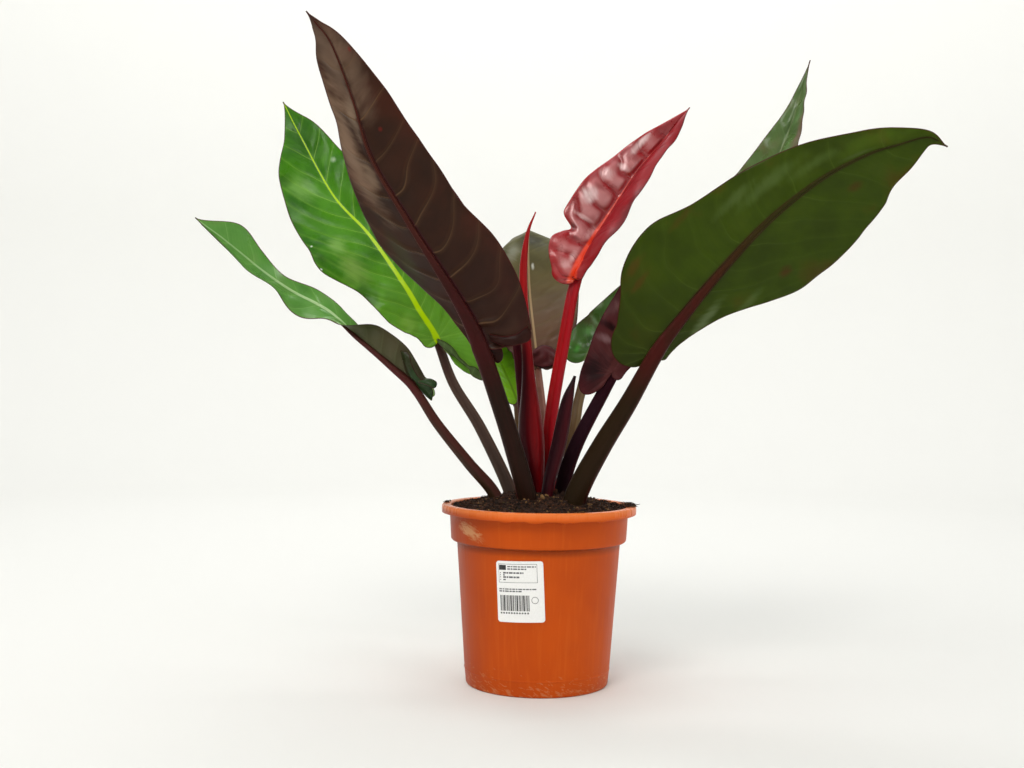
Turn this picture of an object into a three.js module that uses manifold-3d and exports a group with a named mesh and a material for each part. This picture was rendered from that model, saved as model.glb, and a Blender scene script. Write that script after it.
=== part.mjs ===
// Potted imperial red philodendron. Millimetres, +Z up, origin at the centre of the pot's underside.
// The front, which the label is on, looks along -Y.
import * as THREE from 'three';
import { mergeVertices } from 'three/addons/utils/BufferGeometryUtils.js';
import Module from 'manifold-3d';

const wasm = await Module();
wasm.setup();

// Pot: a standard 21 cm nursery pot
const rimRadius = 105;
const potHeight = 192;
const rimBandHeight = 9;
const collarTopRadius = 96.5;
const collarFootRadius = 94.5;
const collarFootHeight = 155.5;
const bodyTopRadius = 88;
const bodyTopHeight = 152;
const baseRadius = 77;
const baseChamfer = 2;
const potWall = 1.5;
const floorThickness = 2;
const drainHoleCount = 8;
const drainHoleRadius = 5;
const drainRingRadius = 60;
const potSides = 40;

// Label: a paper sticker with round corners, a little askew
const labelWidth = 50;
const labelHeight = 63;
const labelThickness = 0.4;
const labelCorner = 3;
const labelCentreHeight = 110;
const labelAzimuthDegrees = -13.6;
const labelTiltDegrees = 2;

// Soil
const soilWallHeight = 186.5;
const soilMoundHeight = 19;
const soilMoundReach = 70;
const soilLump = 1.6;

// Buried stem that the stalks grow from
const stemTopHeight = 168;
const stemFootHeight = 118;
const stemRadius = 44;

// Leaves
const bladeThickness = 0.8;
const ribTipWidth = 1.6;
const ribDrop = 0.45; // from the blade's underside to the flat of the midrib
const seat = 0.3; // clearance between pieces that touch

// Mesh resolution
const bladeStations = 16;
const bladeColumns = 3;
const lobeRays = 4;
const stalkStations = 9;
const ribStations = 9;
const sheathStations = 20;
const ringSides = 8;
const lobeSweep = 150; // degrees that a lobe turns through from the half's side to its inner edge
const tipHalfWidth = 0.8;

// Each leaf. stalk and rib: points of the midline in mm, from the buried stem to the blade, then on to the
// tip. stalkWidth: at the soil and at the blade. roll: turn of the blade about its midline in degrees. left
// and right: the halves, with the upper face towards the eye and the tip up. half: half widths in mm. fold:
// angle in degrees that the half rises from the midrib. Lists are evenly spaced from the stalk to the tip.
// lobe: how far the half reaches back past the stalk, and how far it rises there. wave: height of the
// margin's waves, how many there are, and where they start as a share of one. cup: how far the margins
// curve up, as a share of the half width.
const leaves = {
  far_left: {
    stalk: [[-33, 3, 168.5], [-46, 4, 205], [-74, 4, 237], [-109, 4, 279], [-134, 4, 315]],
    rib: [[-159, 2, 337], [-198, 0, 369], [-231, -2, 397], [-283, -5, 420], [-327, -8, 452], [-373, -14, 495]],
    stalkWidth: [16, 10],
    roll: [-50, -50, -45, 40, 65, 70, 70, 75, 80],
    left: { half: [14, 26, 25, 12, 20, 15, 18, 10, 0], fold: [40, 40, 40, 10, 0, 60, 60, 70, 70], lobe: [8, 0],
      wave: [1, 3, 0] },
    right: { half: [30, 30, 26, 16, 19, 16, 25, 29, 0], fold: [80, 60, 50, 10, 0, 0, 0, 0, 0], lobe: [18, 0],
      wave: [2, 3, 0.5] },
    cup: 0,
  },
  back_left: {
    stalk: [[-24, 17, 168.5], [-31, 24, 205], [-65, 40, 273], [-97, 52, 323], [-117, 62, 372]],
    rib: [[-137, 70, 403], [-155, 78, 432], [-199, 98, 492], [-244, 118, 540], [-289, 144, 616], [-312, 158, 658]],
    stalkWidth: [16, 10],
    roll: [55, 55, 55],
    left: { half: [18, 40, 50, 74, 68, 57, 44, 18, 0], fold: [6, 6], lobe: [8, 0], wave: [3, 3, 0] },
    right: { half: [54, 60, 64, 60, 54, 46, 35, 22, 0], fold: [20, 6], lobe: [60, 0], wave: [3, 3, 0.5] },
    cup: 0.05,
  },
  front_left: {
    stalk: [[-9, -23, 168.5], [-12, -28, 203], [-27, -38, 256], [-42, -48, 302], [-63, -65, 360]],
    rib: [[-85, -78, 403], [-138, -110, 484], [-172, -130, 541], [-188, -145, 592], [-207, -160, 642],
      [-221, -167, 661], [-231, -172, 672]],
    stalkWidth: [21, 18],
    roll: [-45, -45, -45],
    left: { half: [55, 64, 66, 55, 54, 49, 33, 17, 0], fold: [6, 6], lobe: [8, -5], wave: [2.5, 3, 0] },
    right: { half: [14, 25, 45, 53, 46, 34, 28, 26, 0], fold: [30, 20], lobe: [20, 14], wave: [2.5, 3, 0.5] },
    cup: 0.05,
  },
  hidden_left: {
    stalk: [[-12, 6, 168.5], [-13, 10, 210], [-15, 16, 277], [-23, 18, 359], [-30, 18, 380]],
    rib: [[-52, 20, 415], [-88, 24, 479], [-124, 24, 539], [-152, 20, 588]],
    stalkWidth: [11, 10],
    roll: [-50, -50, -50],
    left: { half: [12, 22, 28, 30, 28, 24, 17, 8, 0], fold: [15, 15], lobe: [8, 0], wave: [2, 3, 0] },
    right: { half: [12, 22, 28, 30, 28, 24, 17, 8, 0], fold: [15, 15], lobe: [8, 0], wave: [2, 3, 0.5] },
    cup: 0,
  },
  low_back: {
    stalk: [[-15, 32, 168.5], [-18, 40, 207], [-22, 80, 286], [-26, 93, 304]],
    rib: [[-41, 116, 338], [-62, 148, 379], [-90, 193, 436], [-118, 243, 483]],
    stalkWidth: [10, 8],
    roll: [0, 0, 0],
    left: { half: [16, 30, 40, 42, 38, 32, 22, 10, 0], fold: [10, 10], lobe: [8, 0], wave: [3, 3, 0] },
    right: { half: [22, 38, 44, 42, 38, 32, 22, 10, 0], fold: [10, 10], lobe: [8, 0], wave: [3, 3, 0.5] },
    cup: 0,
  },
  back_centre: {
    stalk: [[5, 32, 168.5], [8, 37, 208], [6, 64, 281], [4, 76, 301], [-1, 104, 343]],
    rib: [[-6, 136, 386], [-11, 180, 437], [-15, 220, 490], [-16, 255, 512], [-15, 300, 505], [-14, 345, 487]],
    stalkWidth: [10, 8],
    roll: [0, 0, 0],
    left: { half: [26, 44, 50, 52, 46, 34, 20, 9, 0], fold: [10, 10, 0, -12, -28, -30, -20], lobe: [8, 0],
      wave: [2, 3, 0] },
    right: { half: [28, 48, 56, 60, 54, 38, 22, 9, 0], fold: [10, 10, 5, 2, -15, -20, -20], lobe: [8, 0],
      wave: [2, 3, 0.5] },
    cup: 0,
  },
  new_red: {
    stalk: [[8, 12, 168.5], [10, 15, 217], [10, 18, 280], [24, 25, 370], [37, 30, 439]],
    rib: [[56, 40, 481], [73, 48, 509], [105, 63, 560], [126, 72, 587], [147, 82, 613], [170, 94, 644]],
    stalkWidth: [16, 13],
    roll: [-45, -45, -45],
    left: { half: [32, 42, 47, 45, 39, 30, 20, 12, 0], fold: [25, 25], lobe: [13, 0], wave: [3, 3, 0] },
    right: { half: [20, 28, 33, 33, 30, 24, 19, 12, 0], fold: [40, 30], lobe: [8, 0], wave: [2, 4, 0.5] },
    cup: 0,
  },
  back_right: {
    stalk: [[23, 26, 168.5], [27, 31, 211], [39, 45, 280], [45, 58, 311], [60, 75, 359]],
    rib: [[81, 82, 376], [113, 90, 400], [186, 105, 467], [255, 118, 549], [293, 126, 626], [317, 130, 710]],
    stalkWidth: [13, 11],
    roll: [-60, -60, -60],
    left: { half: [34, 42, 45, 44, 42, 36, 25, 11, 0], fold: [6, 6], lobe: [21, 0], wave: [3, 3, 0] },
    right: { half: [30, 44, 48, 46, 42, 36, 26, 16, 0], fold: [20, 20, 60], lobe: [24, 0], wave: [3, 3, 0.5] },
    cup: 0,
  },
  inner_right: {
    stalk: [[21, -4, 168.5], [24, -6, 214], [38, -10, 259], [66, -12, 315], [77, -12, 336]],
    rib: [[93, -10, 365], [111, -8, 398], [132, -4, 436], [160, 2, 475], [194, 12, 512], [210, 16, 532]],
    stalkWidth: [18, 13],
    roll: [-60, -60, -60],
    left: { half: [33, 38, 40, 38, 34, 28, 20, 10, 0], fold: [10, 10], lobe: [36, 0], wave: [2, 3, 0] },
    right: { half: [14, 24, 32, 36, 34, 28, 20, 10, 0], fold: [20, 10], lobe: [6, 0], wave: [2, 3, 0.5] },
    cup: 0,
  },
  front_right: {
    stalk: [[32, -22, 168.5], [40, -25, 208], [64, -34, 257], [91, -46, 304], [118, -60, 356]],
    rib: [[138, -68, 385], [179, -86, 438], [223, -107, 488], [270, -127, 527], [311, -140, 549],
      [339, -146, 558], [367, -151, 565], [384, -156, 555]],
    stalkWidth: [26, 16],
    roll: [74, 74, 74],
    left: { half: [14, 24, 48, 76, 80, 74, 60, 28, 0], fold: [20, 6], lobe: [5, 0], wave: [3, 3, 0] },
    right: { half: [50, 80, 86, 67, 55, 43, 28, 16, 0], fold: [6, 6], lobe: [30, 0], wave: [3, 3, 0.5] },
    cup: 0.05,
  },
};

// Sheaths: points of the midline in mm, and the width at each of them
const sheaths = {
  new_sheath: {
    line: [[-3, -3, 168.5], [-2, -3, 210], [-9, -4, 261], [-13, -4, 326], [-17, -4, 380], [-20, -4, 423],
      [-20, -4, 455], [-16, -3, 486], [-8, 0, 508]],
    width: [8, 13, 28, 15, 10, 9, 8, 4, 1.5],
  },
  old_sheath: {
    line: [[7, -20, 168.5], [9, -22, 212], [20, -22, 259], [28, -21, 303], [36, -20, 331]],
    width: [10, 13, 16, 13, 3],
  },
};

// Value at a share from 0 to 1 of a list of evenly spaced values, on a smooth curve through them
function along(values, share) {
  const curve = new THREE.SplineCurve(values.map((value, i) => new THREE.Vector2(i, value)));
  return curve.getPoint(THREE.MathUtils.clamp(share, 0, 1)).y;
}

// Body with the outline turned round the Z axis. Points are [radius, height] and close on the axis or
// on the first point.
function turned(outline, sides) {
  const points = outline.map(([radius, height]) => new THREE.Vector2(radius, height));
  const geometry = new THREE.LatheGeometry(points, sides);
  geometry.rotateX(Math.PI / 2);
  return solid(geometry);
}

// Manifold solid of a closed three.js geometry
function solid(geometry) {
  const bare = new THREE.BufferGeometry();
  bare.setAttribute('position', geometry.getAttribute('position').clone());
  if (geometry.index) bare.setIndex(geometry.index.clone());
  const merged = mergeVertices(bare, 1e-4);
  const corners = merged.index.array;
  const kept = [];
  for (let i = 0; i < corners.length; i += 3) {
    const [a, b, c] = corners.slice(i, i + 3);
    if (a !== b && b !== c && c !== a) kept.push(a, b, c);
  }
  const mesh = new wasm.Mesh({
    numProp: 3,
    vertProperties: new Float32Array(merged.getAttribute('position').array),
    triVerts: new Uint32Array(kept),
  });
  return new wasm.Manifold(mesh);
}

// Solid from lists of THREE.Vector3 points and of corner triples
function solidOf(points, triangles) {
  const geometry = new THREE.BufferGeometry().setFromPoints(points);
  geometry.setIndex(triangles.flat());
  return solid(geometry);
}

// Skin through rings of points, one after another, closed by a fan at each end
function lofted(rings) {
  const sides = rings[0].length;
  const points = rings.flat();
  const triangles = [];
  for (let i = 0; i + 1 < rings.length; i += 1) {
    for (let k = 0; k < sides; k += 1) {
      const a = i * sides + k;
      const b = i * sides + ((k + 1) % sides);
      triangles.push([a, b, b + sides], [a, b + sides, a + sides]);
    }
  }
  for (const [first, turn] of [[0, -1], [(rings.length - 1) * sides, 1]]) {
    for (let k = 1; k + 1 < sides; k += 1) {
      const corner = [first, first + k, first + k + 1];
      triangles.push(turn > 0 ? corner : corner.reverse());
    }
  }
  return solidOf(points, triangles);
}

// Sheet of a given thickness about a triangulated surface, with the same triangles on both faces
function sheet(points, triangles, thickness) {
  const normals = points.map(() => new THREE.Vector3());
  const sides = new Map();
  for (const corners of triangles) {
    const [a, b, c] = corners.map((i) => points[i]);
    const across = new THREE.Vector3().subVectors(b, a).cross(new THREE.Vector3().subVectors(c, a));
    corners.forEach((corner, i) => {
      const next = corners[(i + 1) % 3];
      normals[corner].add(across);
      sides.set(`${corner} ${next}`, [corner, next]);
    });
  }
  const top = points.map((point, i) => point.clone().addScaledVector(normals[i].normalize(), thickness / 2));
  const bottom = points.map((point, i) => point.clone().addScaledVector(normals[i], -thickness / 2));
  const count = points.length;
  const skin = [];
  for (const [a, b, c] of triangles) skin.push([a, b, c], [a + count, c + count, b + count]);
  for (const [a, b] of sides.values()) {
    if (!sides.has(`${b} ${a}`)) skin.push([b, a, a + count], [b, a + count, b + count]);
  }
  return solidOf([...top, ...bottom], skin);
}

// Largest body of a solid that a cut may have left in several
function largest(cut) {
  const bodies = cut.decompose();
  return bodies.reduce((best, body) => (body.volume() > best.volume() ? body : best));
}

// Midline of a leaf: the place, side and upward directions at a distance from where stalk and blade meet.
// Unrolled, the side is level and square to the way that the whole blade leans.
function midline(leaf) {
  const points = [...leaf.stalk, ...leaf.rib].map((point) => new THREE.Vector3(...point));
  const curve = new THREE.CatmullRomCurve3(points, false, 'catmullrom', 0.5);
  const stepsPerPoint = 40;
  curve.arcLengthDivisions = stepsPerPoint * (points.length - 1);
  const lengths = curve.getLengths();
  const whole = lengths[lengths.length - 1];
  const stalkLength = lengths[stepsPerPoint * (leaf.stalk.length - 1)];
  const lean = points[points.length - 1].clone().sub(points[leaf.stalk.length - 1]);
  const square = new THREE.Vector3(lean.y, -lean.x, 0);
  const at = (distance) => {
    const share = THREE.MathUtils.clamp((stalkLength + distance) / whole, 0, 1);
    const place = curve.getPointAt(share);
    const ahead = curve.getTangentAt(share);
    const level = square.clone().projectOnPlane(ahead).normalize();
    const up = new THREE.Vector3().crossVectors(level, ahead);
    const roll = THREE.MathUtils.degToRad(along(leaf.roll, distance / (whole - stalkLength)));
    const side = level.clone().multiplyScalar(Math.cos(roll)).addScaledVector(up, Math.sin(roll));
    const face = up.clone().multiplyScalar(Math.cos(roll)).addScaledVector(level, -Math.sin(roll));
    return { place, ahead, side, face };
  };
  return { at, stalkLength, ribLength: whole - stalkLength };
}

// Point of a blade's middle surface: forward is measured from the stalk, and across is positive to the right.
// A reach of 1 is the margin.
function bladePoint(leaf, line, forward, across, reach) {
  const frame = line.at(Math.max(forward, 0));
  const half = across > 0 ? leaf.right : leaf.left;
  const share = forward / line.ribLength;
  const [lobeLength, lobeRise] = half.lobe;
  const [waveHeight, waveCount, waveStart] = half.wave;
  const fade = 1 - THREE.MathUtils.smoothstep(share, 0.8, 1);
  const wave = waveHeight * fade * Math.sin(2 * Math.PI * (waveCount * share + waveStart));
  const fold = THREE.MathUtils.degToRad(along(half.fold, share));
  const back = Math.min(forward, 0);
  const rise = Math.abs(across) * (Math.sin(fold) + leaf.cup * reach) + wave * reach * reach
    + lobeRise * (back / lobeLength) ** 2;
  return frame.place.addScaledVector(frame.ahead, back)
    .addScaledVector(frame.side, across * Math.cos(fold))
    .addScaledVector(frame.face, rise);
}

// Blade with two rounded lobes at its foot and a drawn-out tip
function blade(leaf, line, thickness) {
  const points = [];
  const triangles = [];
  const columns = 2 * bladeColumns + 1;
  for (let i = 0; i <= bladeStations; i += 1) {
    const share = i / bladeStations;
    for (let k = -bladeColumns; k <= bladeColumns; k += 1) {
      const halfWidth = Math.max(along((k > 0 ? leaf.right : leaf.left).half, share), tipHalfWidth);
      const reach = Math.abs(k) / bladeColumns;
      points.push(bladePoint(leaf, line, share * line.ribLength, Math.sign(k) * halfWidth * reach, reach));
    }
    for (let k = 0; i > 0 && k + 1 < columns; k += 1) {
      const a = (i - 1) * columns + k;
      const b = a + 1;
      triangles.push([a, b, b + columns], [a, b + columns, a + columns]);
    }
  }
  // Each lobe is a fan of rays round the point where the stalk meets the blade
  for (const turn of [-1, 1]) {
    const half = turn > 0 ? leaf.right : leaf.left;
    let last = Array.from({ length: bladeColumns }, (_, k) => bladeColumns + turn * (k + 1));
    for (let ray = 1; ray <= lobeRays; ray += 1) {
      const angle = THREE.MathUtils.degToRad((lobeSweep * ray) / lobeRays);
      const next = [];
      for (let k = 1; k <= bladeColumns; k += 1) {
        const reach = k / bladeColumns;
        const back = -half.lobe[0] * reach * Math.sin(angle);
        const across = (turn * half.half[0] * reach * (1 + Math.cos(angle))) / 2;
        next.push(points.push(bladePoint(leaf, line, back, across, reach)) - 1);
      }
      const fan = [[bladeColumns, next[0], last[0]]];
      for (let k = 0; k + 1 < bladeColumns; k += 1) {
        fan.push([last[k], next[k], next[k + 1]], [last[k], next[k + 1], last[k + 1]]);
      }
      triangles.push(...(turn > 0 ? fan : fan.map((corners) => corners.reverse())));
      last = next;
    }
  }
  return sheet(points, triangles, thickness);
}

// Stalk, flat on its upper side, which runs on under the blade as a tapering midrib
function stalk(leaf, line, extra) {
  const rings = [];
  const [soilWidth, bladeWidth] = leaf.stalkWidth;
  const distances = [];
  for (let i = 0; i < stalkStations; i += 1) distances.push(-line.stalkLength * (1 - i / stalkStations));
  for (let i = 0; i <= ribStations; i += 1) distances.push((0.97 * line.ribLength * i) / ribStations);
  for (const distance of distances) {
    const frame = line.at(distance);
    if (rings.length === 0) frame.place.addScaledVector(frame.ahead, -extra);
    const below = -distance / line.stalkLength;
    const beyond = distance / line.ribLength;
    const width = distance < 0
      ? THREE.MathUtils.lerp(bladeWidth, soilWidth, below)
      : ribTipWidth + (bladeWidth * 0.8 - ribTipWidth) * (1 - beyond) ** 1.6 + bladeWidth * 0.2 * (1 - beyond) ** 9;
    const depth = distance < 0 ? 0.85 * width : (0.85 - 0.35 * Math.sqrt(beyond)) * width;
    const ring = [];
    for (let k = 0; k < ringSides; k += 1) {
      const angle = (2 * Math.PI * (k + 0.5)) / ringSides;
      const across = -(width / 2 + extra) * Math.cos(angle);
      const rise = (depth / 2 + extra) * Math.sin(angle) * (angle < Math.PI ? 0.8 : 1);
      const centre = -bladeThickness / 2 - ribDrop - depth * 0.4;
      ring.push(frame.place.clone().addScaledVector(frame.side, across).addScaledVector(frame.face, centre + rise));
    }
    rings.push(ring);
  }
  return lofted(rings);
}

// Pointed sheath with a round section
function sheath({ line, width }, extra) {
  const curve = new THREE.CatmullRomCurve3(line.map((point) => new THREE.Vector3(...point)), false, 'catmullrom', 0.5);
  const rings = [];
  for (let i = 0; i <= sheathStations; i += 1) {
    const share = i / sheathStations;
    const place = curve.getPoint(share);
    const ahead = curve.getTangent(share);
    if (rings.length === 0) place.addScaledVector(ahead, -extra);
    const right = new THREE.Vector3(1, 0, 0).cross(ahead).cross(ahead).negate().normalize();
    const front = new THREE.Vector3().crossVectors(ahead, right);
    const radius = along(width, share) / 2 + extra;
    const ring = [];
    for (let k = 0; k < ringSides; k += 1) {
      const angle = (2 * Math.PI * k) / ringSides;
      ring.push(place.clone().addScaledVector(right, radius * Math.cos(angle))
        .addScaledVector(front, radius * Math.sin(angle)));
    }
    rings.push(ring);
  }
  return lofted(rings);
}

// Radius of the pot's outside at a height on its tapering body
function bodyRadius(height) {
  return THREE.MathUtils.lerp(baseRadius, bodyTopRadius, height / bodyTopHeight);
}

// Pot: one thin wall from the floor up, over the collar and down again as the rim's band
function pot() {
  const rimFoot = potHeight - rimBandHeight;
  const wallTop = potHeight - potWall;
  const outside = [
    [0, 0],
    [baseRadius - baseChamfer, 0],
    [baseRadius, baseChamfer],
    [bodyTopRadius, bodyTopHeight],
    [collarFootRadius, collarFootHeight],
    [collarTopRadius, wallTop],
    [rimRadius - potWall, wallTop],
    [rimRadius - potWall - 0.3, rimFoot],
    [rimRadius - 0.6, rimFoot],
    [rimRadius, rimFoot + 2],
    [rimRadius, potHeight - 2],
    [rimRadius - 1.5, potHeight],
  ];
  const inside = [
    [collarTopRadius - potWall, potHeight],
    [collarFootRadius - potWall, collarFootHeight + 1],
    [bodyTopRadius - potWall, bodyTopHeight + 1],
    [baseRadius - potWall, floorThickness],
    [0, floorThickness],
  ];
  let body = turned([...outside, ...inside], potSides);
  for (let i = 0; i < drainHoleCount; i += 1) {
    const hole = new THREE.CylinderGeometry(drainHoleRadius, drainHoleRadius, 4 * floorThickness, 16);
    const angle = (2 * Math.PI * i) / drainHoleCount;
    hole.rotateX(Math.PI / 2);
    hole.translate(drainRingRadius * Math.cos(angle), drainRingRadius * Math.sin(angle), 0);
    body = body.subtract(solid(hole));
  }
  return body;
}

// Label bent round the pot: columns from one edge to the other, shorter at the round corners
function label() {
  const columns = 16;
  const points = [];
  const triangles = [];
  const tilt = THREE.MathUtils.degToRad(labelTiltDegrees);
  for (let i = 0; i <= columns; i += 1) {
    const across = (-Math.cos((Math.PI * i) / columns) * labelWidth) / 2;
    const past = Math.max(Math.abs(across) - labelWidth / 2 + labelCorner, 0);
    const cornerDrop = labelCorner - Math.sqrt(labelCorner ** 2 - past ** 2);
    const top = labelHeight / 2 - cornerDrop;
    for (const rise of [-top, top]) {
      const height = labelCentreHeight + across * Math.sin(tilt) + rise * Math.cos(tilt);
      const radius = bodyRadius(height) + seat + labelThickness / 2;
      const angle = THREE.MathUtils.degToRad(labelAzimuthDegrees)
        + (across * Math.cos(tilt) - rise * Math.sin(tilt)) / radius;
      points.push(new THREE.Vector3(radius * Math.sin(angle), -radius * Math.cos(angle), height));
    }
    if (i > 0) {
      const a = 2 * i - 2;
      triangles.push([a, a + 2, a + 3], [a, a + 3, a + 1]);
    }
  }
  return sheet(points, triangles, labelThickness);
}

// Height of the soil's top: a low mound round the stalks, with lumps
function soilHeight(x, y) {
  const reach = Math.hypot(x, y) / soilMoundReach;
  const mound = soilMoundHeight * Math.exp(-reach * reach);
  const lumps = Math.sin(x / 6 + 1.3) * Math.cos(y / 5) + 0.6 * Math.sin(x / 3.1 - y / 3.7);
  return soilWallHeight + mound + soilLump * lumps;
}

// Soil fills the pot up to its lumpy top
function soil() {
  const sides = potSides;
  const inset = potWall + seat;
  const floor = floorThickness + seat;
  const wallRings = [
    [baseRadius - inset, floor],
    [bodyTopRadius - inset, bodyTopHeight + 1],
    [collarFootRadius - inset, collarFootHeight + 1.4],
  ];
  const wallReach = collarTopRadius - inset - 0.5;
  const topRings = 5;
  const radii = Array.from({ length: topRings }, (_, i) => wallReach * (1 - i / topRings));
  const points = [new THREE.Vector3(0, 0, floor)];
  const ring = (radius, heightAt) => {
    for (let k = 0; k < sides; k += 1) {
      const angle = (2 * Math.PI * k) / sides;
      const x = radius * Math.cos(angle);
      const y = radius * Math.sin(angle);
      points.push(new THREE.Vector3(x, y, heightAt(x, y)));
    }
  };
  for (const [radius, height] of wallRings) ring(radius, () => height);
  for (const radius of radii) ring(radius, soilHeight);
  points.push(new THREE.Vector3(0, 0, soilHeight(0, 0)));
  const triangles = [];
  const rings = wallRings.length + radii.length;
  for (let k = 0; k < sides; k += 1) {
    const next = (k + 1) % sides;
    triangles.push([0, 1 + next, 1 + k]);
    for (let i = 0; i + 1 < rings; i += 1) {
      const a = 1 + i * sides + k;
      const b = 1 + i * sides + next;
      triangles.push([a, b, b + sides], [a, b + sides, a + sides]);
    }
    const last = 1 + (rings - 1) * sides;
    triangles.push([last + k, last + next, points.length - 1]);
  }
  return solidOf(points, triangles);
}

// Short buried stem, round at its foot
function stem(extra) {
  const radius = stemRadius + extra;
  return turned([
    [0, stemFootHeight - extra],
    [radius * 0.5, stemFootHeight - extra],
    [radius * 0.85, stemFootHeight + 12],
    [radius, stemFootHeight + 30],
    [radius, stemTopHeight - 6],
    [radius - 5, stemTopHeight + extra],
    [0, stemTopHeight + extra],
  ], 24);
}

// Mesh of a solid, with a plain finish of its own
const plant = new THREE.Group();
function show(name, body, color, roughness) {
  const { vertProperties, triVerts } = body.getMesh();
  const geometry = new THREE.BufferGeometry();
  geometry.setAttribute('position', new THREE.BufferAttribute(vertProperties, 3));
  geometry.setIndex(new THREE.BufferAttribute(triVerts, 1));
  geometry.computeVertexNormals();
  const mesh = new THREE.Mesh(geometry, new THREE.MeshStandardMaterial({ color, roughness, metalness: 0 }));
  mesh.name = name;
  plant.add(mesh);
}

const finish = {
  far_left: ['#3f7a2c', '#4a2620'],
  back_left: ['#3f8a24', '#4a2f2b'],
  front_left: ['#3b2a20', '#2a1c18'],
  hidden_left: ['#2f5a22', '#5a1f22'],
  low_back: ['#3f8a24', '#6b553a'],
  back_centre: ['#5d6b58', '#9a4a4a'],
  new_red: ['#a8202a', '#a01818'],
  back_right: ['#2f5f22', '#6b553a'],
  inner_right: ['#3a1820', '#271419'],
  front_right: ['#2f4310', '#3a1a18'],
};

// Stalks and sheaths, each cut clear of the stem and of those before it where their feet crowd together
const standing = [stem(seat)];
function clear(body) {
  let cut = body;
  for (const other of standing) cut = cut.subtract(other);
  return largest(cut);
}

for (const [name, shape] of Object.entries(sheaths)) {
  show(name, clear(sheath(shape, 0)), name === 'new_sheath' ? '#7d0f1a' : '#2e0f14', 0.4);
  standing.push(sheath(shape, seat));
}
for (const [name, leaf] of Object.entries(leaves)) {
  const line = midline(leaf);
  const under = stalk(leaf, line, 0).subtract(blade(leaf, line, bladeThickness + 2 * seat));
  show(`stalk_${name}`, clear(under), finish[name][1], 0.4);
  show(`blade_${name}`, blade(leaf, line, bladeThickness), finish[name][0], 0.35);
  standing.push(stalk(leaf, line, seat));
}

show('pot', pot(), '#c5531a', 0.45);
show('label', label(), '#f2f2f0', 0.6);
show('stem', stem(0), '#4a3a24', 0.8);
show('soil', clear(soil()), '#1d1410', 0.95);

export default plant;
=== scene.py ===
import math

import bpy
import numpy as np
from mathutils import Matrix, Vector


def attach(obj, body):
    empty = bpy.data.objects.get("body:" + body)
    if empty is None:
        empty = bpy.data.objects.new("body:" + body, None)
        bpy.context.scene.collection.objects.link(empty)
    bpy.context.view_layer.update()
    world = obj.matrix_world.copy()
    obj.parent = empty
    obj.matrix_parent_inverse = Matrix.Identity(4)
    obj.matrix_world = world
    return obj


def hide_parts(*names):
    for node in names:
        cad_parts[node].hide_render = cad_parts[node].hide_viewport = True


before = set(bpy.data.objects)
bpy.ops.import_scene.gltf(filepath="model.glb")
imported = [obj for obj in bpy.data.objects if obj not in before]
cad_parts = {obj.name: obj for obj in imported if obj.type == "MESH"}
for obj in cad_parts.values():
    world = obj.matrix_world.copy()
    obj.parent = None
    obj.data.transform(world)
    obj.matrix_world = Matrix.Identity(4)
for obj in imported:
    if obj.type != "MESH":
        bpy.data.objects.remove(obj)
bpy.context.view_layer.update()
print("frame loaded:", len(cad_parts), "solids")

mm = 0.001
fullTurn = 2 * math.pi
bladeThickness = 0.8
ribDrop = 0.45  # from the blade's underside to the flat of the midrib
ribTipWidth = 1.6
tipHalfWidth = 0.8
lobeSweep = math.radians(150)  # a lobe turns through this from the half's side to its inner edge
fleshIor = 1.45
soft = {"interpolation_type": "SMOOTHSTEP"}
times = {"operation": "MULTIPLY"}


def linear(hexColour):  # sRGB hex to the linear colour that a shader takes
    parts = [int(hexColour[i:i + 2], 16) / 255 for i in (1, 3, 5)]
    return [c / 12.92 if c <= 0.04045 else ((c + 0.055) / 1.055) ** 2.4 for c in parts] + [1.0]


def add(tree, kind, inputs=(), into=None, **settings):
    # Adds a node, links or fills its inputs in order or by name, and may feed one of the shader's sockets
    made = tree.nodes.new("ShaderNode" + kind)
    for name, value in settings.items():
        setattr(made, name, value)
    for key, value in inputs.items() if isinstance(inputs, dict) else enumerate(inputs):
        if isinstance(value, bpy.types.Node):
            value = value.outputs[0]
        if isinstance(value, bpy.types.NodeSocket):
            tree.links.new(value, made.inputs[key])
        else:
            made.inputs[key].default_value = linear(value) if isinstance(value, str) else value
    if into:
        tree.links.new(made.outputs[0], tree.nodes["Principled BSDF"].inputs[into])
    return made


def newMaterial(name, values):  # values go on the shader's own sockets
    material = bpy.data.materials.new(name)
    material.use_nodes = True
    for key, value in values.items():
        material.node_tree.nodes["Principled BSDF"].inputs[key].default_value = value
    return material, material.node_tree


def paint(tree, colour, layers):  # lays tones over a first colour, each as far as its part says
    for part, tone in layers:
        colour = add(tree, "Mix", {0: part, 6: colour, 7: tone}, data_type="RGBA").outputs[2]
    tree.links.new(colour, tree.nodes["Principled BSDF"].inputs["Base Color"])


def smooth(value, low, high):  # eases from 0 at low to 1 at high
    share = np.clip((value - low) / (high - low), 0, 1)
    return share * share * (3 - 2 * share)


def ripple(x, y, size, seed):  # soft irregular waves of about a size in mm, from -1 to 1
    draw = np.random.default_rng(seed)
    total = 0
    for i in range(6):
        turn, start = draw.uniform(0, fullTurn, 2)
        pace = fullTurn / (size * draw.uniform(0.7, 1.6))
        total = total + np.sin(pace * (x * math.cos(turn) + y * math.sin(turn)) + start)
    return total / 4


def ringFaces(rings, sides):  # skin through rings of points, closed at both ends
    faces = []
    for start in range(0, (rings - 1) * sides, sides):
        for a, b in ((start + k, start + (k + 1) % sides) for k in range(sides)):
            faces.append((a, b, b + sides, a + sides))
    return faces + [tuple(reversed(range(sides))), tuple(range((rings - 1) * sides, rings * sides))]


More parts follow.
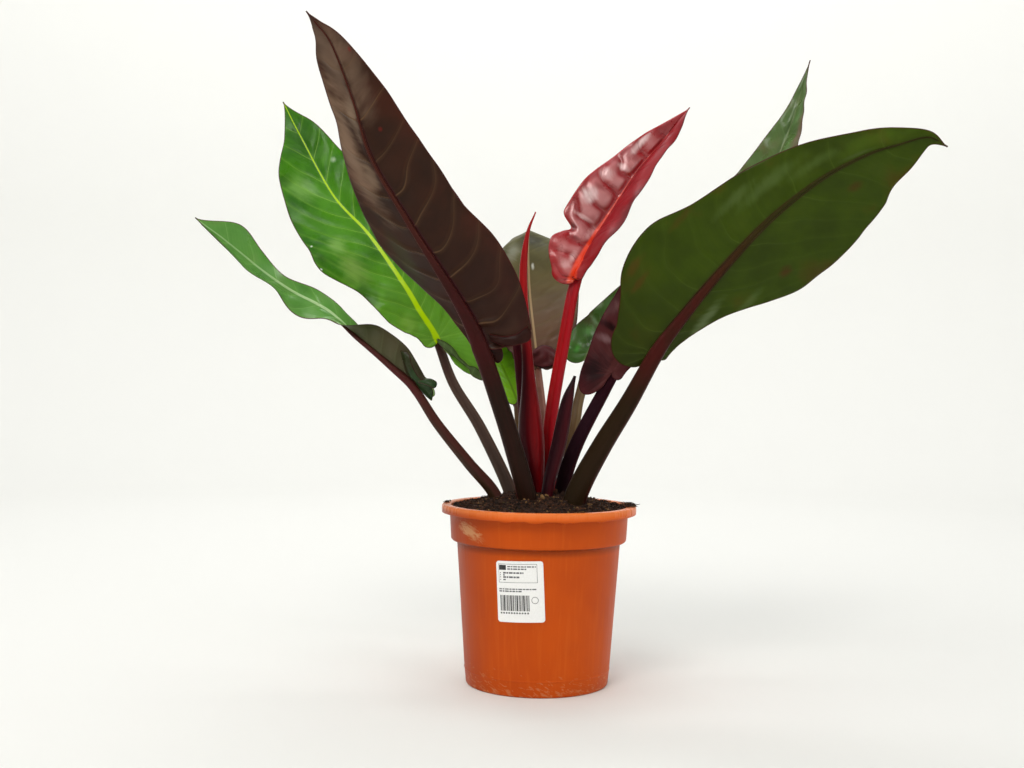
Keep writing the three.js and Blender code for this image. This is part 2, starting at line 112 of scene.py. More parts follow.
def gridFaces(steps, columns):  # skin over rows of points
    wide = columns + 1
    return [(a, a + 1, a + 1 + wide, a + wide)
            for i in range(steps) for a in range(i * wide, i * wide + columns)]


def stand(name, data):  # puts an object in the scene
    made = bpy.data.objects.new(name, data)
    bpy.context.scene.collection.objects.link(made)
    return made


def meshOf(name, points, faces, materials, smoothed=True):  # points in mm
    mesh = bpy.data.meshes.new(name)
    mesh.from_pydata((np.asarray(points) * mm).tolist(), [], faces)
    for material in materials:
        mesh.materials.append(material)
    mesh.polygons.foreach_set("use_smooth", [smoothed] * len(mesh.polygons))
    return mesh


def piece(name, points, faces, materials, faceMaterials=None, marks=None, smoothed=True):
    mesh = meshOf(name, points, faces, materials, smoothed)
    if faceMaterials is not None:
        mesh.polygons.foreach_set("material_index", faceMaterials)
    for key, values in (marks or {}).items():  # where each point lies on the leaf or stalk, for the materials
        attribute = mesh.attributes.new(key, "FLOAT_VECTOR", "POINT")
        attribute.data.foreach_set("vector", np.asarray(values, np.float32).ravel())
    mesh.update()
    made = stand(name, mesh)
    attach(made, "root")
    return made


# place in mm, sensor in mm
view = {"place": (-31, -1375, 321.5), "focalPixels": 1270, "imageWidth": 1024, "rollDegrees": 0.8,
        "sensor": 36}
# Plain paper floor that bends up into a round wall: dead matt, so it gives the eye no reflection. In mm.
stage = {"floorHole": 20, "floorReach": 2500, "bend": 900, "bendSteps": 12, "wallTop": 3800, "sides": 96,
         "colour": "#ebebe8", "roughness": 0.9, "room": "#f4f6f8", "roomLight": 0.15}
lamps = {  # place and aim in m, side in m, power in W, colour
    "keyLamp": ((-0.6, -1.8, 2.3), (0, 0, 0.35), 1.1, 30, "#fffdf8"),
    "leftLamp": ((-1.6, -0.5, 2.2), (0, 0, 0.5), 1.2, 8, "#ffffff"),
    "fillLamp": ((1.7, -1.7, 0.9), (0, 0, 0.2), 1.4, 5, "#f8fbff"),
    "wallLamp": ((0, 1.2, 3.4), (0, 3.4, 0.9), 2.2, 70, "#ffffff"),
    "leftWallLamp": ((-1.4, 0, 3.6), (-3.4, 0, 1.0), 2.0, 8, "#ffffff"),
    "rightWallLamp": ((1.4, 0, 3.6), (3.4, 0, 1.0), 2.0, 8, "#ffffff"),
    "frontWallLamp": ((0, -1.4, 3.6), (0, -3.4, 1.0), 2.0, 14, "#ffffff"),
}

camera = stand("camera", bpy.data.cameras.new("camera"))
camera.data.sensor_width = view["sensor"]
camera.data.lens = view["sensor"] * view["focalPixels"] / view["imageWidth"]
camera.matrix_world = (Matrix.Translation(Vector(view["place"]) * mm) @ Matrix.Rotation(math.pi / 2, 4, "X")
                       @ Matrix.Rotation(math.radians(view["rollDegrees"]), 4, "Z"))
bpy.context.scene.camera = camera

for name, (place, aim, side, power, colour) in lamps.items():
    holder = stand(name, bpy.data.lights.new(name, "AREA"))
    holder.data.size = side
    holder.data.energy = power
    holder.data.color = linear(colour)[:3]
    holder.location = place
    holder.rotation_euler = (Vector(aim) - Vector(place)).to_track_quat("-Z", "Y").to_euler()
    holder.visible_camera = False

world = bpy.data.worlds.new("softRoom")
world.use_nodes = True
world.node_tree.nodes["Background"].inputs["Color"].default_value = linear(stage["room"])
world.node_tree.nodes["Background"].inputs["Strength"].default_value = stage["roomLight"]
bpy.context.scene.world = world
bpy.context.scene.view_settings.view_transform = "Standard"  # keeps the hex colours as they are

paper, _ = newMaterial("matte_backdrop_paper", {"Base Color": linear(stage["colour"]),
                                                "Roughness": stage["roughness"]})
reach, bend = stage["floorReach"], stage["bend"]
profile = [(stage["floorHole"], 0), (reach / 2, 0), (reach, 0)]
for i in range(1, stage["bendSteps"] + 1):
    turn = math.pi / 2 * i / stage["bendSteps"]
    profile.append((reach + bend * math.sin(turn), bend * (1 - math.cos(turn))))
profile.append((reach + bend, stage["wallTop"]))
around = [fullTurn * k / stage["sides"] for k in range(stage["sides"])]
backdrop = stand("backdrop", meshOf(
    "backdrop", [(r * math.cos(a), r * math.sin(a), z) for r, z in profile for a in around],
    [face[::-1] for face in ringFaces(len(profile), stage["sides"])[:-1]], [paper]))
print("camera, lamps and backdrop ready")


# Shape, in mm and degrees, close to the solids: midline points of the stalk and rib, and for the left and the
# right half of the blade its half widths, fold, lobe (reach back, rise) and waves (height, count).
# quilt: how far the blade swells between side veins, and crease how far the veins sink. veins: how many side
# veins a half has. veinLean: their slope to the tip, near the stalk and further on. veinCurve: how they bend.
# wander: how far they stray. sway: height and size of broad dips. crinkle: puckers near the stalk. nicks:
# notches in the left margin (share, depth, width). rightBulge: how far the right half rounds up. ribShow and
# ribTaper: how wide the midrib shows and how soon it narrows. skin: finish of the face, of the underside and,
# where it differs, of the right half's face.
usualLeaf = {
    "cup": 0, "lobe": ((8, 0), (8, 0)), "wave": ((3, 3), (3, 3)), "nicks": [],
    "rightBulge": 0, "crease": 0.25, "creaseWidth": 1.7, "sway": (0.9, 60), "crinkle": 0.4,
    "veinCurve": 0.004, "wander": 1.5, "ribShift": [0, 0], "ribShow": 0.42, "ribTaper": 1.1, "ribRise": 0.45,
}
leaves = {
    "far_left": {
        "stalk": [(-33, 3, 168.5), (-46, 4, 205), (-74, 4, 237), (-109, 4, 279), (-134, 4, 315)],
        "rib": [(-159, 2, 337), (-198, 0, 369), (-231, -2, 397), (-283, -5, 420), (-327, -8, 452),
                (-373, -14, 495)],
        "stalkWidth": (16, 10), "roll": [-50, -50, -45, 40, 65, 70, 70, 75, 80],
        "half": ([14, 26, 25, 12, 20, 15, 18, 10, 0], [30, 30, 26, 16, 19, 16, 25, 29, 0]),
        "fold": ([40, 40, 40, 10, 0, 60, 60, 70, 70], [80, 60, 50, 10, 0, 0, 0, 0, 0]),
        "lobe": ((8, 0), (18, 0)), "wave": ((1, 3), (2, 3)), "quilt": 1.1, "veins": 12,
        "veinLean": (0.3, 1.2), "ribShift": [0, 0, 0, 0, 3, 6, 7, 5, 0], "ribShow": 0.2,
        "skin": ("greenFace", "oliveUnder"), "stalkLook": "redBrownStalk",
    },
    "back_left": {
        "stalk": [(-24, 17, 168.5), (-31, 24, 205), (-65, 40, 273), (-97, 52, 323), (-117, 62, 372)],
        "rib": [(-137, 70, 403), (-155, 78, 432), (-199, 98, 492), (-244, 118, 540), (-289, 144, 616),
                (-312, 158, 658)],
        "stalkWidth": (16, 10), "roll": [55, 55], "cup": 0.05,
        "half": ([18, 40, 50, 74, 68, 57, 44, 18, 0], [54, 60, 64, 60, 54, 46, 35, 22, 0]),
        "fold": ([6, 6], [20, 6]), "lobe": ((8, 0), (60, 0)), "quilt": 1.9, "veins": 13,
        "veinLean": (0.75, 1.3), "ribShow": 0.32, "ribTaper": 1.7, "crease": 0.7, "crinkle": 0.9,
        "sway": (1.6, 46),
        "skin": ("brightGreenFace", "greenUnder"), "stalkLook": "greyBrownStalk",
    },
    "front_left": {
        "stalk": [(-9, -23, 168.5), (-12, -28, 203), (-27, -38, 256), (-42, -48, 302), (-63, -65, 360)],
        "rib": [(-85, -78, 403), (-138, -110, 484), (-172, -130, 541), (-188, -145, 592), (-207, -160, 642),
                (-221, -167, 661), (-231, -172, 672)],
        "stalkWidth": (21, 18), "roll": [-45, -45], "cup": 0.05,
        "half": ([55, 64, 66, 55, 54, 49, 33, 17, 0], [14, 25, 45, 53, 46, 34, 28, 26, 0]),
        "fold": ([6, 6], [30, 20]), "lobe": ((8, -5), (20, 14)), "wave": ((2.5, 3), (2.5, 3)), "quilt": 2.4,
        "veins": 10, "veinLean": (-0.55, 0.35), "rightVeinLean": (0.2, 0.6), "veinCurve": 0.011,
        "crease": 2.4, "creaseWidth": 2.2, "wander": 3,
        "skin": ("darkFace", "bronzeUnder"), "stalkLook": "darkStalk",
    },
    "hidden_left": {
        "stalk": [(-12, 6, 168.5), (-13, 10, 210), (-15, 16, 277), (-23, 18, 359), (-30, 18, 380)],
        "rib": [(-52, 20, 415), (-88, 24, 479), (-124, 24, 539), (-152, 20, 588)],
        "stalkWidth": (11, 10), "roll": [-50, -50], "half": ([12, 22, 28, 30, 28, 24, 17, 8, 0],) * 2,
        "fold": ([15, 15], [15, 15]), "wave": ((2, 3), (2, 3)), "quilt": 1.0, "veins": 12,
        "veinLean": (0.2, 1.0), "skin": ("greenFace", "bronzeUnder"), "stalkLook": "burgundyStalk",
    },
    "low_back": {
        "stalk": [(-15, 32, 168.5), (-18, 40, 207), (-22, 80, 286), (-26, 93, 304)],
        "rib": [(-41, 116, 338), (-62, 148, 379), (-90, 193, 436), (-118, 243, 483)],
        "stalkWidth": (10, 8), "roll": [0, 0],
        "half": ([16, 30, 40, 42, 38, 32, 22, 10, 0], [22, 38, 44, 42, 38, 32, 22, 10, 0]),
        "fold": ([10, 10], [10, 10]), "quilt": 1.6, "veins": 12, "veinLean": (0.2, 1.0), "ribShow": 0.14,
        "skin": ("mottledFace", "greenUnder"), "stalkLook": "tanStalk",
    },
    "back_centre": {
        "stalk": [(5, 32, 168.5), (8, 37, 208), (6, 64, 281), (4, 76, 301), (-1, 104, 343)],
        "rib": [(-6, 136, 386), (-11, 180, 437), (-13, 220, 494), (-12, 255, 519), (-13, 300, 507),
                (-14, 345, 487)],
        "stalkWidth": (10, 8), "roll": [0, 0],
        "half": ([26, 44, 50, 52, 46, 34, 20, 9, 0], [28, 48, 56, 60, 54, 38, 22, 9, 0]),
        "fold": ([10, 10, 0, -12, -28, -30, -20], [10, 10, 5, 2, -15, -20, -20]), "wave": ((2, 3), (2, 3)),
        "quilt": 0.2, "veins": 12, "veinLean": (0.1, 0.9), "ribShow": 0.12, "ribTaper": 0.5, "crinkle": 2.4,
        "crease": 0.1, "sway": (0.6, 60), "skin": ("greyFace", "oliveUnder"), "stalkLook": "pinkStalk",
    },
    "new_red": {
        "stalk": [(8, 12, 168.5), (10, 15, 217), (10, 18, 280), (24, 25, 370), (37, 30, 439)],
        "rib": [(56, 40, 481), (73, 48, 509), (105, 63, 560), (126, 72, 587), (147, 82, 613), (170, 94, 644)],
        "stalkWidth": (16, 13), "roll": [-45, -45],
        "half": ([32, 43, 47, 45, 39, 30, 20, 12, 0], [13, 26, 33, 33, 30, 24, 19, 12, 0]),
        "fold": ([25, 25], [40, 30]), "lobe": ((9, 0), (2, 0)), "wave": ((3, 3), (2, 4)),
        "nicks": [(0.2, 14, 0.024), (0.165, 9, 0.034), (0, 5, 0.04)], "quilt": 3.0, "rightQuilt": 0.15,
        "rightBulge": 4, "crinkle": 0.6, "veins": 9, "veinLean": (-0.2, 0.1), "rightVeinLean": (0.4, 0.8),
        "veinCurve": 0.011, "wander": 6, "crease": 0.9, "sway": (1.7, 48), "ribShow": 0.58, "ribTaper": 3.0,
        "ribRise": 0.9, "skin": ("redFace", "redUnder", "redFoldFace"), "stalkLook": "redStalk",
    },
    "back_right": {
        "stalk": [(23, 26, 168.5), (27, 31, 211), (39, 45, 280), (45, 58, 311), (60, 75, 359)],
        "rib": [(81, 82, 376), (113, 90, 400), (186, 105, 467), (255, 118, 549), (293, 126, 626),
                (317, 130, 710)],
        "stalkWidth": (13, 11), "roll": [-60, -60],
        "half": ([34, 42, 45, 44, 42, 36, 25, 11, 0], [30, 44, 48, 46, 42, 36, 26, 16, 0]),
        "fold": ([6, 6], [20, 20, 60]), "lobe": ((21, 0), (24, 0)), "quilt": 2.2, "veins": 15,
        "veinLean": (0.4, 1.1), "crinkle": 0.7, "sway": (1.6, 30),
        "skin": ("mossFace", "brownUnder"), "stalkLook": "tanStalk",
    },
    "inner_right": {
        "stalk": [(21, -4, 168.5), (24, -6, 214), (38, -10, 259), (66, -12, 315), (77, -12, 336)],
        "rib": [(93, -10, 365), (111, -8, 398), (132, -4, 436), (160, 2, 475), (194, 12, 512),
                (210, 16, 532)],
        "stalkWidth": (18, 13), "roll": [-60, -60],
        "half": ([33, 38, 40, 38, 34, 28, 20, 10, 0], [14, 24, 32, 36, 34, 28, 20, 10, 0]),
        "fold": ([10, 10], [20, 10]), "lobe": ((36, 0), (6, 0)), "wave": ((2, 3), (2, 3)), "quilt": 2.8,
        "veins": 11, "veinLean": (0.3, 1.0), "crinkle": 0.5, "sway": (1.6, 60),
        "skin": ("purpleFace", "bronzeUnder"), "stalkLook": "purpleStalk",
    },
    "front_right": {
        "stalk": [(32, -22, 168.5), (40, -25, 208), (64, -34, 257), (91, -46, 304), (118, -60, 356)],
        "rib": [(138, -68, 385), (179, -86, 438), (223, -107, 488), (270, -127, 527), (311, -140, 549),
                (339, -146, 558), (367, -151, 565), (384, -156, 555)],
        "stalkWidth": (26, 16), "roll": [74, 74], "cup": 0.05,
        "half": ([14, 24, 48, 76, 80, 74, 60, 28, 0], [50, 80, 86, 67, 55, 43, 28, 16, 0]),
        "fold": ([20, 6], [6, 6]), "lobe": ((5, 0), (30, 0)), "quilt": 1.3, "veins": 10,
        "veinLean": (0.6, 0.9), "rightVeinLean": (-0.5, 0.0), "veinCurve": 0.008, "crease": 0.8, "wander": 3,
        "skin": ("greenFace", "darkGreenUnder"), "stalkLook": "redEdgeStalk",
    },
}
leaves = {name: {**usualLeaf, **leaf} for name, leaf in leaves.items()}
leafMesh = {"stations": 200, "columns": 28, "rays": 18, "stalkRings": 60, "ribRings": 60, "sides": 36}


def spline(t, a, b, c, d):  # Catmull-Rom from b to c
    return 0.5 * (2 * b + (c - a) * t + (2 * a - 5 * b + 4 * c - d) * t * t
                  + (3 * b - a - 3 * c + d) * t ** 3)


def withEnds(points):  # knots of a midline, and one more past each end for the spline
    knots = np.array(points, float)
    return knots, np.vstack([2 * knots[0] - knots[1], knots, 2 * knots[-1] - knots[-2]])


def along(values, share):  # value at a share of a list of evenly spaced ones, on a smooth curve
    values = np.asarray(values, float)
    last = len(values) - 1
    place = np.clip(share, 0, 1) * last
    i = np.minimum(place.astype(int), last - 1)
    return spline(place - i, values[np.maximum(i - 1, 0)], values[i], values[i + 1],
                  values[np.minimum(i + 2, last)])


def unit(vectors):
    return vectors / np.linalg.norm(vectors, axis=-1, keepdims=True)


def midline(leaf):
    knots, ends = withEnds(leaf["stalk"] + leaf["rib"])
    steps = 40
    t = np.linspace(0, 1, steps, endpoint=False)[:, None]
    places = np.vstack([spline(t, *ends[i:i + 4]) for i in range(len(knots) - 1)] + [knots[-1:]])
    lengths = np.concatenate([[0], np.cumsum(np.linalg.norm(np.diff(places, axis=0), axis=1))])
    stalkLength = lengths[steps * (len(leaf["stalk"]) - 1)]
    lean = knots[-1] - knots[len(leaf["stalk"]) - 1]
    return {"places": places, "lengths": lengths, "stalkLength": stalkLength,
            "ribLength": lengths[-1] - stalkLength, "square": np.array([lean[1], -lean[0], 0.0]),
            "roll": leaf["roll"]}


def frameAt(line, distance):  # place, way ahead, side and upper face at distances from the stalk's end
    s = np.clip(line["stalkLength"] + np.asarray(distance, float), 0, line["lengths"][-1])
    at = lambda q: np.stack([np.interp(q, line["lengths"], line["places"][:, k]) for k in range(3)], -1)
    step = 2.0
    ahead = unit(at(np.minimum(s + step, line["lengths"][-1])) - at(np.maximum(s - step, 0)))
    level = unit(line["square"] - ahead * (ahead @ line["square"])[..., None])
    up = np.cross(level, ahead)
    roll = np.radians(along(line["roll"], distance / line["ribLength"]))[..., None]
    return at(s), ahead, level * np.cos(roll) + up * np.sin(roll), up * np.cos(roll) - level * np.sin(roll)


def bladePoints(leaf, line, forward, across, reach):  # points of the blade's middle surface
    place, ahead, side, face = frameAt(line, np.maximum(forward, 0))
    share = forward / line["ribLength"]
    points = np.zeros(forward.shape + (3,))
    for half, mask in ((1, across > 0), (0, across <= 0)):
        lobeLength, lobeRise = leaf["lobe"][half]
        waveHeight, waveCount = leaf["wave"][half]
        wave = waveHeight * (1 - smooth(share, 0.8, 1)) * np.sin(fullTurn * (waveCount * share + half / 2))
        fold = np.radians(along(leaf["fold"][half], share))
        back = np.minimum(forward, 0)
        rise = (np.abs(across) * (np.sin(fold) + leaf["cup"] * reach) + wave * reach ** 2
                + lobeRise * (back / lobeLength) ** 2)
        found = (place + ahead * back[..., None] + side * (across * np.cos(fold))[..., None]
                 + face * rise[..., None])
        points[mask] = found[mask]
    return points


def halfWidths(leaf, half, share):  # half is 0 for the left one and 1 for the right one
    widths = np.maximum(along(leaf["half"][half], share), tipHalfWidth)
    for nickShare, nickDepth, nickWidth in [] if half else leaf["nicks"]:
        widths = widths - nickDepth * np.exp(-((share - nickShare) / nickWidth) ** 2)
    return widths


def bladeGrid(leaf, line):  # forward, across, reach and distance from the margin of each point, and the faces
    stations, columns, rays = leafMesh["stations"], leafMesh["columns"], leafMesh["rays"]
    share = np.linspace(0, 1, stations + 1)[:, None]
    k = np.arange(-columns, columns + 1)[None, :]
    halves = np.where(k > 0, halfWidths(leaf, 1, share), halfWidths(leaf, 0, share))
    reach = np.abs(k) / columns + 0 * share
    forward = share * line["ribLength"] + 0 * k
    grids = [np.stack([forward, np.sign(k) * halves * reach, reach, (1 - reach) * halves], -1).reshape(-1, 4)]
    faces = gridFaces(stations, 2 * columns)
    count = (stations + 1) * (2 * columns + 1)
    for half, turn in ((0, -1), (1, 1)):  # each lobe is a fan of rays round the end of the stalk
        last = [columns + turn * (i + 1) for i in range(columns)]
        for ray in range(1, rays + 1):
            angle = lobeSweep * ray / rays
            r = np.arange(1, columns + 1) / columns
            back = -leaf["lobe"][half][0] * math.sin(angle)
            side = halfWidths(leaf, half, np.zeros(1))[0] * (1 + math.cos(angle)) / 2
            grids.append(np.stack([back * r, turn * side * r, r, (1 - r) * math.hypot(back, side)], -1))
            now = list(range(count, count + columns))
            count += columns
            fan = [(columns, now[0], last[0])]
            fan += [(last[i], now[i], now[i + 1], last[i + 1]) for i in range(columns - 1)]
            faces += fan if turn > 0 else [corners[::-1] for corners in fan]
            last = now
    return np.vstack(grids), faces


def veinMarks(leaf, line, forward, across):  # side vein count at each point, and the mm between side veins
    x = np.abs(across)
    further = smooth(forward / line["ribLength"], 0, 0.6)
    left, right = leaf["veinLean"], leaf.get("rightVeinLean", leaf["veinLean"])
    lean = np.where(across > 0, *(first + (last - first) * further for first, last in (right, left)))
    bent = forward - lean * x - leaf["veinCurve"] * x * x
    bent = bent + leaf["wander"] * ripple(forward, across, 40, leaf["veins"]) * smooth(x, 0, 15)
    share = np.clip(bent / line["ribLength"], 0, 1)
    behind = np.arctan2(np.maximum(-bent, 0), x + 1e-3)
    fan = 2.4  # veins to the radian in a lobe
    phase = leaf["veins"] * (1.5 * share - 0.5 * share ** 2) - fan * behind
    spacing = np.where(bent > 0, line["ribLength"] / (leaf["veins"] * (1.5 - share)),
                       np.clip(np.hypot(bent, x) / fan, 4, 30))
    return phase, spacing


def normalsOf(points, faces):
    normals = np.zeros_like(points)
    for size in (3, 4):
        corners = np.array([f for f in faces if len(f) == size])
        if len(corners):
            p = points[corners]
            cross = np.cross(p[:, 2] - p[:, 0], p[:, -1] - p[:, 1])
            for k in range(size):
                np.add.at(normals, corners[:, k], cross)
    return normals / (np.linalg.norm(normals, axis=1, keepdims=True) + 1e-12)


def closedSheet(name, points, normals, half, faces, finishes, faceMaterials, underMaterial, marks):
    # Skins half a thickness each side of a surface, joined at the margin
    sides = {(f[i], f[(i + 1) % len(f)]) for f in faces for i in range(len(f))}
    count = len(points)
    rim = [(b, a, a + count, b + count) for a, b in sorted(sides) if (b, a) not in sides]
    below = [tuple(i + count for i in f[::-1]) for f in faces]
    return piece(name, np.vstack([points + normals * half, points - normals * half]), faces + below + rim,
                 finishes, faceMaterials + [underMaterial] * (len(below) + len(rim)),
                 {key: np.tile(np.stack(values, -1).reshape(-1, 3), (2, 1)) for key, values in marks.items()})


def makeBlade(name, leaf, line, seed):
    grid, faces = bladeGrid(leaf, line)
    forward, across, reach, edge = grid.T
    points = bladePoints(leaf, line, forward, across, reach)
    share = forward / line["ribLength"]
    across = across - along(leaf["ribShift"], share)
    phase, spacing = veinMarks(leaf, line, forward, across)
    onRight = across > 0
    flat = 1 - smooth(share, 0.85, 1)
    # Swelling between side veins, uneven from cell to cell, and strongest in the middle of a cell
    uneven = 0.6 + 0.4 * np.sin((np.floor(phase) + 40 * onRight) * 12.9 + seed)
    skew = (phase % 1) ** 0.8
    swell = 4 * skew * (1 - skew) * uneven * np.minimum(spacing / 22, 1.2)
    swell = swell * smooth(reach, 0.02, 0.25) * (1 - smooth(reach, 0.7, 1)) * (1 - smooth(share, 0.8, 0.98))
    relief = np.where(onRight, leaf.get("rightQuilt", leaf["quilt"]), leaf["quilt"]) * swell
    # Side veins sink a little, some more than others
    veinDepth = 0.35 + 0.65 * np.abs(np.sin((np.round(phase) + 40 * onRight) * 7.7 + seed))
    veinGap = np.abs(phase - np.round(phase)) * spacing
    sunk = veinDepth * np.exp(-(veinGap / leaf["creaseWidth"]) ** 2)
    relief = relief - leaf["crease"] * sunk * smooth(reach, 0.0, 0.06) * (1 - smooth(reach, 0.4, 0.85))
    swayHeight, swaySize = leaf["sway"]
    relief = relief + swayHeight * ripple(forward, across, swaySize, seed) * smooth(reach, 0, 0.4)
    crinkle = leaf["crinkle"] * (0.08 + 0.92 * (1 - smooth(share, 0.0, 0.22)))
    relief = relief + crinkle * ripple(forward, across, 14, seed + 3) * smooth(reach, 0.1, 0.4)
    relief = relief + reach ** 5 * ripple(forward, 0 * across, 34, seed + 7)
    relief = relief + leaf["rightBulge"] * onRight * np.sin(math.pi * reach)
    ribHalf = leaf["stalkWidth"][1] * leaf["ribShow"] * (1 - np.clip(share, 0, 1)) ** leaf["ribTaper"] + 0.5
    relief = relief + leaf["ribRise"] * np.exp(-(across / ribHalf) ** 4)
    points = points + normalsOf(points, faces) * (relief * flat)[:, None]
    half = (bladeThickness / 2 * (1 - 0.5 * smooth(reach, 0.9, 1)))[:, None]
    faceMaterials = [0] * len(faces)
    if len(leaf["skin"]) > 2:
        faceMaterials = [2 if np.mean([across[i] for i in face]) > 0 else 0 for face in faces]
    made = closedSheet("leaf_" + name, points, normalsOf(points, faces), half, faces,
                       [leafMaterials[finish] for finish in leaf["skin"]], faceMaterials, 1,
                       {"leafPlace": [phase, across, share], "leafEdge": [edge, spacing, ribHalf],
                        "leafSwell": [swell, veinDepth, 0 * swell]})
    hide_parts("blade_" + name)


